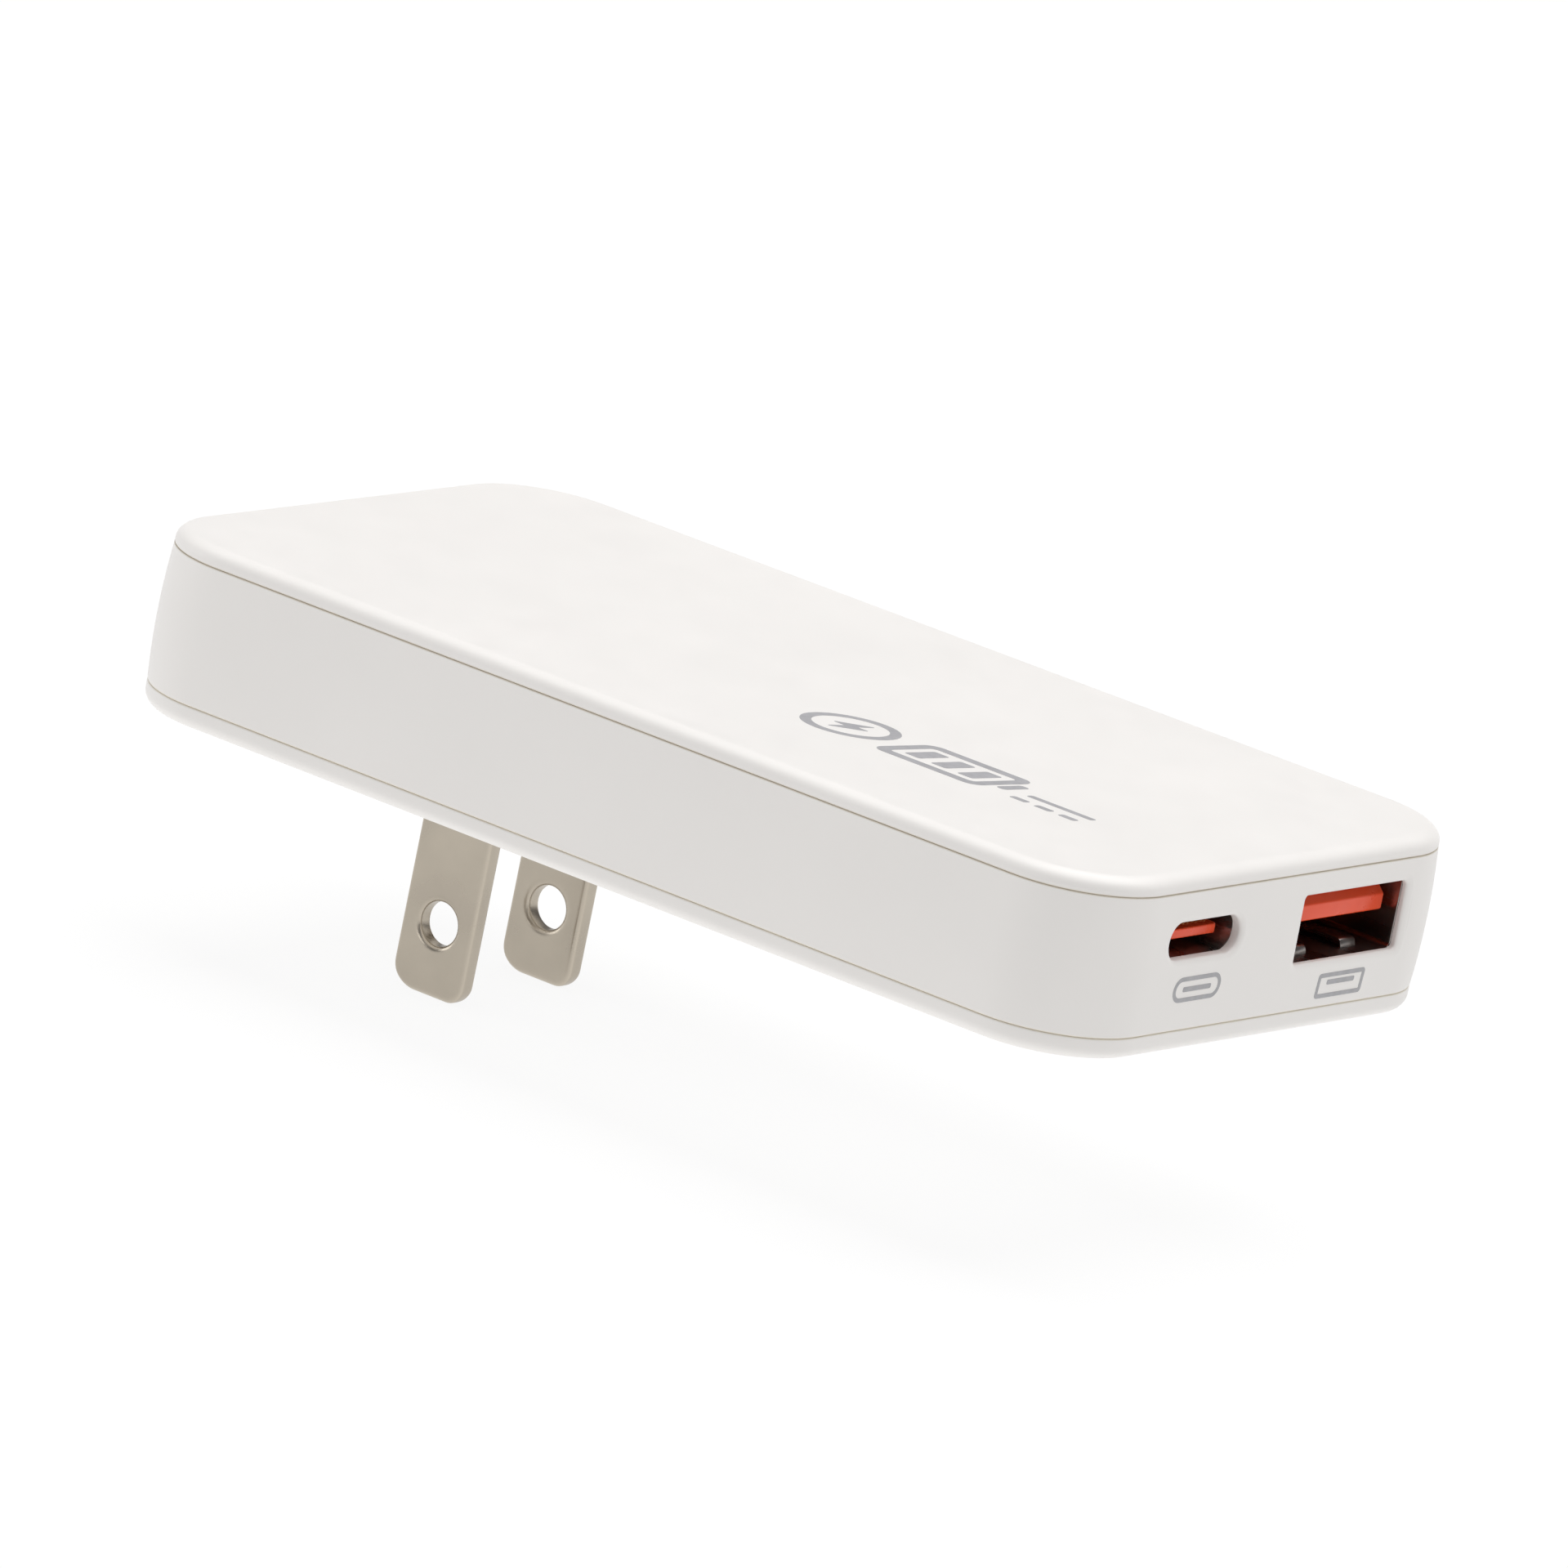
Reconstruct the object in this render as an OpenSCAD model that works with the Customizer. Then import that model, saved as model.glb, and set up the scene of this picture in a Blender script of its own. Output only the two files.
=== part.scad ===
// Slim two-port USB wall charger with folding blades.
// Origin: midway between the two blades, on the face that meets the outlet.
// +X runs towards the port end, +Z towards the top cover, -Z along the blades.

/* [Housing] */
// Overall length of the body
body_l = 86; // [84:0.5:90]
// Overall width of the body
body_w = 46.5; // [46.5:0.5:50]
// Overall thickness of the body
body_h = 13; // [13:0.1:13.6]
// Radius of the body's corners, seen from above
corner_r = 7.8; // [6.5:0.1:9]
// Distance from the blade axis to the body's back end
back_end = 21.25; // [20.5:0.25:22]
// How far the walls bulge at mid height
crown = 0.38; // [0.1:0.02:0.5]
// Wall thickness of the side frame
wall_t = 1.4; // [1.2:0.1:1.5]
// Height of the seam between bottom cover and side frame
low_seam_z = 1.65; // [1.5:0.05:1.8]
// Thickness of the top cover at its edge
top_edge_t = 1.25; // [1.15:0.05:1.4]

/* [Prongs] */
// Distance between the two blades' middle planes
blade_pitch = 12.7; // [12.6:0.05:12.8]
// Length of a blade below the outlet face
blade_l = 17; // [16:0.1:18.2]
// Width of a blade
blade_w = 6.3; // [6.1:0.05:6.6]
// Thickness of a blade
blade_t = 1.5; // [1.4:0.02:1.6]
// Diameter of the hole in a blade
blade_hole_d = 3.2; // [3:0.05:3.3]
// Distance of that hole's centre below the outlet face
blade_hole_z = 11.7; // [11.5:0.05:12]
// Height of the hinge axis above the outlet face
hinge_z = 3.8; // [3.7:0.05:3.9]
// Radius of the carrier's trunnions
trunnion_r = 1.5; // [1.3:0.05:1.7]
// Radial clearance of the trunnions in the tray
trunnion_gap = 0.06; // [0.03:0.01:0.08]

/* [Ports] */
// Middle of the USB-A port across the body
usb_a_y = 8.5; // [8:0.1:9]
// Middle of the USB-A port above the outlet face
usb_a_z = 7.58; // [7.5:0.02:7.7]
// Middle of the USB-C port across the body
usb_c_y = -9.3; // [-10:0.1:-8.5]
// Middle of the USB-C port above the outlet face
usb_c_z = 8.2; // [8.1:0.05:8.3]
// Depth of the tongues' front faces behind the port end
tongue_depth = 1.55; // [1.4:0.05:1.8]

/* [Hidden] */
$fn = 48;

front_x = body_l - back_end;              // port end
mid_x = front_x - body_l / 2;             // middle of the body
top_seam_z = body_h - top_edge_t;         // side frame to top cover
seam_groove = 0.12;                       // chamfer on each side of a seam
fit_gap = 0.05;                           // gap between parts that slip together
lip_t = 0.9;                              // the covers' lips inside the frame
lip_h = 1.15;
floor_z = 1.4;                            // inside face of the bottom cover
edge_steps = 6;                           // facets around a rounded edge
top_edge_a = 1.3;                         // top edge's rounding, across and up
top_edge_b = 1.0;

pocket_x0 = -4.6;                         // room for the folded prongs
pocket_x1 = blade_l + hinge_z + 1.1;
pocket_y = 7.6;
pocket_top_z = 8.2;
tray_t = 1.4;                             // tray wall
tray_roof_t = 1.0;
barrel_r = 3.3;                           // hinge barrel of the carrier
lug_r = 3.75;                             // contact lug on a blade's inner end
lug_half_angle = 32;
leaf_t = 0.3;                             // spring strip of the contacts
leaf_gap = 0.02;                          // leaf to the turning part under it
leaf_w = 2.4;
leaf_root_x = -8.6;                       // solder end of the leaves

board_z = 3.2;                            // underside of the board
board_t = 1.2;
board_top_z = board_z + board_t;
board_gap = 0.35;                         // board edge to the side frame
lead_r = 0.3;                             // component leads

shell_t = 0.3;                            // sheet of the port shells
usb_a_window = [12.4, 4.98, 0.65];        // opening in the wall: width, height, depth
usb_c_window = [8.42, 2.7, 0.93];
usb_a_in = [12.5, 5.12];                  // inside of the USB-A shell
usb_a_depth = 14;
usb_a_tongue_size = [11.1, 1.84];
usb_a_tongue_drop = 0.7;                  // tongue top below the shell's inside
usb_c_in = [8.34, 2.56];                  // inside of the USB-C shell
usb_c_depth = 8.5;
usb_c_tongue_size = [6.69, 0.7];
usb_a_x = front_x - usb_a_window[2];      // mouth of each shell
usb_c_x = front_x - usb_c_window[2];

// Finish colours
white = [0.93, 0.92, 0.91];
nickel = [0.69, 0.66, 0.60];
orange = [0.85, 0.30, 0.20];
steel = [0.62, 0.62, 0.63];
gold = [0.85, 0.65, 0.30];
copper = [0.72, 0.42, 0.22];
epoxy = [0.12, 0.12, 0.13];
board_green = [0.08, 0.32, 0.20];

// How far the wall is set in from its widest line at height z
function wall_in(z) = crown * pow((z - body_h / 2) / (body_h / 2), 2);
// Outline radius at the corners at height z
function wall_r(z) = corner_r - wall_in(z);
// Points on an elliptic arc
function arc_points(x, z, a, b, t0, t1, n) =
    [for (i = [0:n]) let (t = t0 + (t1 - t0) * i / n) [x + a * cos(t), z + b * sin(t)]];

// Rounded slab: a half section (radius from the corner centres, height) is
// carried round the body's outline, whose corner radius is corner_r.
module slab(section) {
    half_l = body_l / 2 - corner_r;
    half_w = body_w / 2 - corner_r;
    n = len(section) - 1;
    closed = concat([[0, section[0][1]]], section, [[0, section[n][1]]]);
    translate([mid_x, 0, 0]) {
        for (sx = [0, 1], sy = [0, 1])
            mirror([sx, 0, 0]) mirror([0, sy, 0]) translate([half_l, half_w, 0])
                rotate_extrude(angle = 90) polygon(closed);
        rotate([90, 0, 90]) translate([0, 0, -half_l]) linear_extrude(2 * half_l)
            polygon(both_sides(section, half_w));
        for (s = [0, 1])
            mirror([s, 0, 0]) rotate([90, 0, 0]) translate([0, 0, -half_w])
                linear_extrude(2 * half_w)
                    polygon([for (p = closed) [half_l + p[0], p[1]]]);
    }
}

// A half section and its mirror image as one outline
function both_sides(section, half) = concat(
    [for (p = section) [half + p[0], p[1]]],
    [for (i = [len(section) - 1:-1:0]) [-half - section[i][0], section[i][1]]]);

// Straight-sided slab of the body's outline, set in by a distance
module inner_slab(inset, z0, z1) {
    slab([[corner_r - inset, z0], [corner_r - inset, z1]]);
}

module box(x, y, z) {
    translate([x[0], y[0], z[0]]) cube([x[1] - x[0], y[1] - y[0], z[1] - z[0]]);
}

// Cylinder lying along Y, given its middle and length
module bar_y(p, r, l) {
    translate(p) rotate([90, 0, 0]) cylinder(r = r, h = l, center = true);
}

// Cylinder lying along X, from its lower end
module bar_x(p, r, l) {
    translate(p) rotate([0, 90, 0]) cylinder(r = r, h = l);
}

// Block with rounded long edges, lying along X, for port windows and shells
module port_block(size, r, x0, depth, y, z) {
    translate([x0, y, z]) rotate([90, 0, 90]) linear_extrude(depth) {
        square([size[0] - 2 * r, size[1]], center = true);
        for (s = [-1, 1]) translate([s * (size[0] / 2 - r), 0]) {
            square([2 * r, size[1] - 2 * r], center = true);
            for (t = [-1, 1]) translate([0, t * (size[1] / 2 - r)])
                intersection() {
                    circle(r);
                    translate([s > 0 ? 0 : -r, t > 0 ? 0 : -r]) square(r);
                }
        }
    }
}

// ---- Housing ----

module top_cover() color(white) {
    r0 = wall_r(top_seam_z);
    slab(concat(
        [[r0 - seam_groove, top_seam_z], [r0, top_seam_z + seam_groove]],
        arc_points(r0 - top_edge_a, body_h - top_edge_b, top_edge_a, top_edge_b,
            0, 90, edge_steps)));
    difference() {
        inner_slab(wall_t + fit_gap, top_seam_z - lip_h, top_seam_z);
        inner_slab(wall_t + fit_gap + lip_t, top_seam_z - lip_h - 1, top_seam_z + 1);
    }
}

module frame_section() {
    steps = 10;
    z0 = low_seam_z + seam_groove;
    z1 = top_seam_z - seam_groove;
    slab(concat(
        [[wall_r(low_seam_z) - seam_groove, low_seam_z]],
        [for (i = [0:steps]) let (z = z0 + (z1 - z0) * i / steps) [wall_r(z), z]],
        [[wall_r(top_seam_z) - seam_groove, top_seam_z]]));
}

module side_frame() color(white)
    difference() {
        frame_section();
        inner_slab(wall_t, low_seam_z - 1, top_seam_z + 1);
        // windows for the plugs
        port_block(usb_a_window, 0.4, front_x - wall_t - 1, wall_t + 2, usb_a_y, usb_a_z);
        port_block(usb_c_window, 1.33, front_x - wall_t - 1, wall_t + 2, usb_c_y, usb_c_z);
        // seats for the shells' noses
        port_block([usb_a_in[0] + 2 * shell_t + 2 * fit_gap,
            usb_a_in[1] + 2 * shell_t + 2 * fit_gap], 0.7,
            usb_a_x - 1, 1, usb_a_y, usb_a_z);
        port_block([usb_c_in[0] + 2 * shell_t + 2 * fit_gap,
            usb_c_in[1] + 2 * shell_t + 2 * fit_gap], 1.57,
            usb_c_x - 1, 1, usb_c_y, usb_c_z);
    }

module bottom_cover() color(white) {
    r0 = wall_r(low_seam_z);
    edge = low_seam_z - seam_groove;
    difference() {
        slab(concat(
            arc_points(r0 - edge, edge, edge, edge, -90, 0, edge_steps),
            [[r0 - seam_groove, low_seam_z]]));
        inner_slab(wall_t + fit_gap + lip_t, floor_z, low_seam_z + 1);
        box([pocket_x0, pocket_x1], [-pocket_y, pocket_y], [-1, 2]);
    }
    difference() {
        inner_slab(wall_t + fit_gap, low_seam_z, low_seam_z + lip_h);
        inner_slab(wall_t + fit_gap + lip_t, low_seam_z - 1, low_seam_z + lip_h + 1);
    }
}

// ---- Prongs ----

module prong_tray() color(white)
    difference() {
        box([pocket_x0 - tray_t, pocket_x1 + tray_t],
            [-pocket_y - tray_t, pocket_y + tray_t],
            [floor_z, pocket_top_z + tray_roof_t]);
        box([pocket_x0, pocket_x1], [-pocket_y, pocket_y], [floor_z - 1, pocket_top_z]);
        bar_y([0, 0, hinge_z], trunnion_r + trunnion_gap, 2 * (pocket_y + tray_t) + 2);
        // slots for the contact leaves and the detent spring
        for (s = [-1, 1])
            leaf_slot(s * blade_pitch / 2, leaf_w, hinge_z + lug_r + leaf_gap);
        leaf_slot(0, 2 * leaf_w, hinge_z + barrel_r + leaf_gap);
    }

module leaf_slot(y, w, z)
    box([pocket_x0 - tray_t - 1, pocket_x0 + 1],
        [y - w / 2 - fit_gap, y + w / 2 + fit_gap], [z - fit_gap, z + leaf_t + fit_gap]);

// Insulating block that both blades are moulded into
module prong_carrier() color(white) {
    barrel_l = blade_pitch - blade_t;
    difference() {
        bar_y([0, 0, hinge_z], barrel_r, barrel_l);
        // detent flats: one faces up with the prongs out, one with them folded
        box([-barrel_r, barrel_r], [-leaf_w - 0.3, leaf_w + 0.3],
            [hinge_z + barrel_r - 0.3, hinge_z + barrel_r + 1]);
        box([barrel_r - 0.3, barrel_r + 1], [-leaf_w - 0.3, leaf_w + 0.3],
            [hinge_z - barrel_r, hinge_z + barrel_r]);
    }
    bar_y([0, 0, hinge_z], trunnion_r, 2 * (pocket_y + tray_t - 0.3));
    // collars that keep the blades from sliding along the trunnions
    for (s = [-1, 1])
        bar_y([0, s * (barrel_l / 2 + blade_t + 0.15), hinge_z], trunnion_r + 0.7, 0.3);
}

module blade_outline() {
    tip_r = 1.9;
    difference() {
        union() {
            translate([-blade_w / 2, -blade_l + tip_r])
                square([blade_w, blade_l - tip_r + hinge_z]);
            translate([-blade_w / 2 + tip_r, -blade_l]) square([blade_w - 2 * tip_r, tip_r]);
            for (s = [-1, 1])
                translate([s * (blade_w / 2 - tip_r), -blade_l + tip_r])
                    intersection() {
                        circle(tip_r);
                        translate([s > 0 ? 0 : -tip_r, -tip_r]) square(tip_r);
                    }
            translate([0, hinge_z]) intersection() {
                circle(blade_w / 2);
                translate([-blade_w / 2, 0]) square([blade_w, blade_w / 2]);
            }
            translate([0, hinge_z]) intersection() {
                circle(lug_r);
                polygon([[0, 0], [-sin(lug_half_angle), cos(lug_half_angle)] * 2 * lug_r,
                    [sin(lug_half_angle), cos(lug_half_angle)] * 2 * lug_r]);
            }
        }
        translate([0, hinge_z]) circle(trunnion_r);
    }
}

module blade(y) color(nickel) {
    bevel = 0.4;
    bevel_h = 2.2;
    difference() {
        translate([0, y + blade_t / 2, 0]) rotate([90, 0, 0])
            linear_extrude(blade_t) blade_outline();
        bar_y([0, y, -blade_hole_z], blade_hole_d / 2, blade_t + 2);
        // bevel on both faces of the tip
        for (s = [0, 1])
            translate([0, y, 0]) mirror([0, s, 0])
                translate([-blade_w, blade_t / 2, -blade_l]) rotate([90, 0, 90])
                    linear_extrude(2 * blade_w)
                        polygon([[-bevel, -1], [1, -1], [1, bevel_h], [0, bevel_h], [-bevel, 0]]);
    }
}

module live_blade() blade(-blade_pitch / 2);
module neutral_blade() blade(blade_pitch / 2);

// Spring strip through the tray wall, with a tab bent up at its solder end
module leaf(y, w, z, tab_h) color(copper) {
    box([leaf_root_x, 1.6], [y - w / 2, y + w / 2], [z, z + leaf_t]);
    box([leaf_root_x, leaf_root_x + leaf_t], [y - w / 2, y + w / 2], [z + leaf_t, z + leaf_t + tab_h]);
}

module live_contact_leaf() leaf(-blade_pitch / 2, leaf_w, hinge_z + lug_r + leaf_gap, 1.4);
module neutral_contact_leaf() leaf(blade_pitch / 2, leaf_w, hinge_z + lug_r + leaf_gap, 1.4);

module detent_spring() color(steel) {
    z = hinge_z + barrel_r + leaf_gap;
    box([leaf_root_x, 2.2], [-leaf_w, leaf_w], [z, z + leaf_t]);
    box([leaf_root_x, leaf_root_x + leaf_t], [-leaf_w, leaf_w], [z - 1.6, z]);
}

// Insulated wire from a leaf's tab to the board, along straight runs
module lead_wire(s, shade) color(shade) {
    wire_r = 0.75;
    tab_z = hinge_z + lug_r + leaf_gap + leaf_t + 0.8;
    bend = [leaf_root_x - wire_r, s * 13, tab_z];
    start = [leaf_root_x - wire_r, s * blade_pitch / 2, tab_z];
    bar_y((start + bend) / 2, wire_r, abs(bend[1] - start[1]));
    translate(bend) sphere(wire_r);
    translate([bend[0], bend[1], board_top_z]) cylinder(r = wire_r, h = bend[2] - board_top_z);
}

module live_lead_wire() lead_wire(-1, [0.15, 0.15, 0.16]);
module neutral_lead_wire() lead_wire(1, [0.85, 0.86, 0.88]);

// ---- Mains side of the board ----

// Body of a lying electrolytic: can, crimp groove and seal end, with leads
module bulk_capacitor(x, y, can_l) {
    axis_z = 6.75;
    lead_x = x + can_l + cap_end_gap + 0.5;
    color([0.20, 0.22, 0.30]) difference() {
        bar_x([x, y, axis_z], cap_r, can_l);
        translate([x + can_l - 2.4, y, axis_z]) rotate([0, 90, 0])
            rotate_extrude() translate([cap_r, 0]) circle(0.45);
    }
    for (s = [-1, 1]) color(steel) {
        bar_x([x + can_l, y + s * 2.5, axis_z], lead_r, lead_x - x - can_l);
        translate([lead_x, y + s * 2.5, axis_z]) sphere(lead_r);
        translate([lead_x, y + s * 2.5, board_top_z]) cylinder(r = lead_r, h = axis_z - board_top_z);
    }
}

// Room left in the board for a lying capacitor
module capacitor_cutout(x, y, can_l)
    box([x - 0.3, x + can_l + cap_end_gap], [y - cap_r - 0.2, y + cap_r + 0.2], [0, 10]);

cap_r = 4.6;
cap_end_gap = 1.2;
cap_y = 15.3;
cap_x = -4;
cap_l = 26;
cap3_x = 24.6;
cap3_l = 19.6;
module bulk_capacitor_1() bulk_capacitor(cap_x, -cap_y, cap_l);
module bulk_capacitor_2() bulk_capacitor(cap_x, cap_y, cap_l);
module bulk_capacitor_3() bulk_capacitor(cap3_x, -cap_y, cap3_l);

module tray_cutout(gap, z0, z1)
    box([pocket_x0 - tray_t - gap, pocket_x1 + tray_t + gap],
        [-pocket_y - tray_t - gap, pocket_y + tray_t + gap], [z0, z1]);

// Middle of the transformer and size of its core
tf_pos = [35.8, 1.2, 6.7];
tf_core = [18, 13, 8.6];

module main_board() color(board_green)
    difference() {
        inner_slab(wall_t + board_gap, board_z, board_top_z);
        tray_cutout(0.4, 0, 10);
        capacitor_cutout(cap_x, -cap_y, cap_l);
        capacitor_cutout(cap_x, cap_y, cap_l);
        capacitor_cutout(cap3_x, -cap_y, cap3_l);
        // opening that the transformer sinks into
        translate([tf_pos[0], tf_pos[1], board_z])
            cube([tf_core[0] + 0.6, 22.6, 10], center = true);
    }

module insulation_film() color([0.85, 0.78, 0.45])
    difference() {
        inner_slab(wall_t + 1.2, floor_z + 0.05, floor_z + 0.2);
        tray_cutout(0.3, 0, 10);
    }

module fuse() {
    x = -12.6;
    z = board_top_z + 2.0;
    color("white") bar_y([x, -14.5, z], 1.5, 6.4);
    for (s = [-1, 1]) color(steel) {
        bar_y([x, -14.5 + s * 4.1, z], 1.8, 1.8);
        translate([x, -14.5 + s * 4.1, board_top_z]) cylinder(r = lead_r, h = 0.4);
    }
}

module disc_part(p, r, t, shade, lead_gap) {
    color(shade) translate(p) rotate([0, 90, 0]) cylinder(r = r, h = t, center = true);
    for (s = [-1, 1]) color(steel)
        translate([p[0], p[1] + s * lead_gap, board_top_z])
            cylinder(r = lead_r, h = p[2] - r * 0.8 - board_top_z);
}

module inrush_thermistor() disc_part([-16.9, -13, 8.1], 3.1, 3, [0.20, 0.30, 0.22], 1.2);
module y_capacitor() disc_part([50.6, 18.1, 7.75], 2.75, 2.8, [0.15, 0.35, 0.65], 1.2);

module x_capacitor() {
    color([0.85, 0.72, 0.15]) box([-18.2, -12.8], [6.2, 18], [board_top_z + 0.3, 11]);
    for (y = [8, 16.2]) color(steel)
        translate([-15.5, y, board_top_z]) cylinder(r = lead_r, h = 0.3);
}

choke_pos = [-14.3, 0];
choke_core_r = [2.3, 4.3];
choke_core_z = [5.4, 9.6];
module choke_core() color([0.25, 0.32, 0.28])
    translate([choke_pos[0], choke_pos[1], choke_core_z[0]])
        rotate_extrude() translate([choke_core_r[0], 0])
            square([choke_core_r[1] - choke_core_r[0], choke_core_z[1] - choke_core_z[0]]);

// Two windings on opposite halves of the ring, each turn a closed loop
module choke_windings() color(copper) {
    turns = 7;
    wire = 0.55;
    gap = 0.04;
    r_in = choke_core_r[0] - gap;
    r_out = choke_core_r[1] + gap;
    z_mid = (choke_core_z[0] + choke_core_z[1]) / 2;
    z_size = choke_core_z[1] - choke_core_z[0] + 2 * gap;
    for (side = [0, 180], i = [0:turns - 1])
        translate([choke_pos[0], choke_pos[1], z_mid])
            rotate([0, 0, side + (i - (turns - 1) / 2) * 20])
                difference() {
                    translate([(r_in + r_out) / 2, 0, 0])
                        cube([r_out - r_in + 2 * wire, wire, z_size + 2 * wire], center = true);
                    translate([(r_in + r_out) / 2, 0, 0])
                        cube([r_out - r_in, wire + 1, z_size], center = true);
                }
}

// Chip package with pins along both sides
module package(p, size, pins, shade, below = false) {
    z0 = below ? board_z - size[2] : board_top_z;
    color(shade) translate([p[0], p[1], z0 + size[2] / 2])
        cube([size[0], size[1], size[2] - 0.1], center = true);
    pitch = size[0] / pins;
    for (s = [-1, 1], i = [0:pins - 1]) color(steel)
        translate([p[0] + (i - (pins - 1) / 2) * pitch, p[1] + s * (size[1] / 2 + 0.3),
            below ? board_z - 0.15 : board_top_z + 0.15])
            cube([pitch * 0.5, 0.6, 0.3], center = true);
}

module bridge_rectifier() package([-13.2, 0], [6.4, 5.6, 1.35], 2, epoxy, true);

// ---- Transformer and switching ----

module transformer_core() color([0.22, 0.22, 0.23])
    translate(tf_pos) difference() {
        cube(tf_core, center = true);
        for (s = [-1, 1]) translate([s * 4.75, 0, 0]) cube([4.5, 14, 5.2], center = true);
    }

module transformer_windings() color([0.93, 0.80, 0.25])
    translate(tf_pos) difference() {
        cube([13.6, 21.6, 4.9], center = true);
        cube([5.1, tf_core[1] + 0.1, 6], center = true);
    }

gan_pos = [29, 16.8];
gan_size = [8, 7.4, 0.9];
module gan_switch() color(epoxy)
    translate([gan_pos[0], gan_pos[1], board_top_z + gan_size[2] / 2]) cube(gan_size, center = true);

pad_t = 1;
module thermal_pad() color([0.55, 0.65, 0.75])
    translate([gan_pos[0], gan_pos[1], board_top_z + gan_size[2] + pad_t / 2])
        cube([7.6, 6.8, pad_t], center = true);

// Folded plate: foot on the pad, leg up the side, broad top under the cover
module heat_spreader() color([0.80, 0.80, 0.82]) {
    foot_z = board_top_z + gan_size[2] + pad_t;
    top_z = top_seam_z - 0.5;
    t = 0.4;
    box([25, 33], [13.2, 20.6], [foot_z, foot_z + t]);
    box([25, 33], [20.2, 20.6], [foot_z + t, top_z]);
    box([25, 47], [-9.6, 20.6], [top_z, top_z + t]);
}

module control_chip() package([38, 16.8], [5.2, 4, 1.4], 5, epoxy);
module optocoupler() package([45, 16.8], [4.6, 6.2, 3.4], 2, [0.90, 0.90, 0.88]);

// ---- Low-voltage side of the board ----

can_places = [[49.6, -17.4], [56.6, -17.4], [51.2, -3.3]];
module output_capacitors()
    for (p = can_places) translate([p[0], p[1], board_top_z]) {
        color(epoxy) translate([-3.1, -3.1, 0]) cube([6.2, 6.2, 0.5]);
        color([0.82, 0.82, 0.83]) translate([0, 0, 0.5]) rotate_extrude()
            polygon([[0, 0], [3, 0], [3, 0.6], [2.8, 0.9], [3, 1.2], [3, 5.4], [2.7, 5.8], [0, 5.8]]);
    }

module output_inductor() color([0.35, 0.35, 0.36])
    translate([51, -10, board_top_z]) {
        translate([-3.3, -3.2, 0.1]) cube([6.6, 6.4, 2.9]);
        for (s = [-1, 1]) translate([-1, s * 3.3 - 0.1, 0]) cube([2, 0.2, 1.2]);
    }

module sync_rectifier() package([59.4, -1.4], [5, 4, 1.1], 4, epoxy);
module usb_control_chip() package([57, 18.1], [4, 3.6, 0.9], 5, epoxy);

// Small parts with a soldered cap at each end, in rows
module chip_row(places, size, shade)
    for (p = places) translate([p[0], p[1], board_top_z]) {
        color(shade) translate([-size[0] / 2 + 0.3, -size[1] / 2, 0])
            cube([size[0] - 0.6, size[1], size[2]]);
        for (s = [-1, 1]) color(steel)
            translate([s * (size[0] / 2 - 0.15) - 0.15, -size[1] / 2, 0])
                cube([0.3, size[1], size[2] + 0.05]);
    }

module chip_resistors()
    chip_row(concat([for (i = [0:2]) [35 + 2.6 * i, 20.6]],
        [for (i = [0:1]) [47, 0.2 - 2.2 * i]]), [2, 1.2, 0.55], epoxy);

module chip_capacitors()
    chip_row(concat([for (i = [0:1]) [60.9, 16.2 + 1.8 * i]],
        [for (i = [0:2]) [47, 5 + 2.5 * i]],
        [for (i = [0:1]) [-15 + 3 * i, -20.6]]), [2, 1.2, 0.9], [0.75, 0.62, 0.45]);

// ---- USB ports ----

module port_shell(size, r, x, depth, y, z)
    difference() {
        port_block([size[0] + 2 * shell_t, size[1] + 2 * shell_t], r + shell_t,
            x - depth, depth, y, z);
        port_block(size, r, x - depth - 1, depth + 2, y, z);
    }

module usb_a_shell() color(steel) {
    port_shell(usb_a_in, 0.4, usb_a_x, usb_a_depth, usb_a_y, usb_a_z);
    // retention springs pressed inward from the floor and the roof
    for (s = [-1, 1], up = [0, 1])
        translate([usb_a_x, usb_a_y + s * 3, usb_a_z]) mirror([0, 0, up])
            translate([0, 1.05, -usb_a_in[1] / 2]) rotate([90, 0, 0])
                linear_extrude(2.1) polygon([[-1.6, 0], [-2.3, up == 1 ? 0.25 : 0.55],
                    [-3.4, up == 1 ? 0.25 : 0.55], [-6.8, 0]]);
    // feet down to the board
    for (s = [-1, 1], x = [-3, -11])
        translate([usb_a_x + x, usb_a_y + s * (usb_a_in[0] / 2 + shell_t / 2),
            (board_top_z + usb_a_z - usb_a_in[1] / 2) / 2])
            cube([2, shell_t, usb_a_z - usb_a_in[1] / 2 - board_top_z], center = true);
}

usb_a_base_l = 2.6;
usb_a_tongue_top = usb_a_z + usb_a_in[1] / 2 - usb_a_tongue_drop;
usb_a_tongue_low = usb_a_tongue_top - usb_a_tongue_size[1];

module usb_a_tongue() color(orange) {
    rear = usb_a_x - usb_a_depth;
    port_block([usb_a_in[0] - 0.04, usb_a_in[1] - 0.04], 0.4, rear, usb_a_base_l, usb_a_y, usb_a_z);
    // tongue with a chamfered upper front edge
    translate([0, usb_a_y + usb_a_tongue_size[0] / 2, 0]) rotate([90, 0, 0])
        linear_extrude(usb_a_tongue_size[0])
            polygon([[rear + usb_a_base_l, usb_a_tongue_low],
                [front_x - tongue_depth, usb_a_tongue_low],
                [front_x - tongue_depth, usb_a_tongue_top - 0.65],
                [front_x - tongue_depth - 0.65, usb_a_tongue_top],
                [rear + usb_a_base_l, usb_a_tongue_top]]);
}

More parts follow.
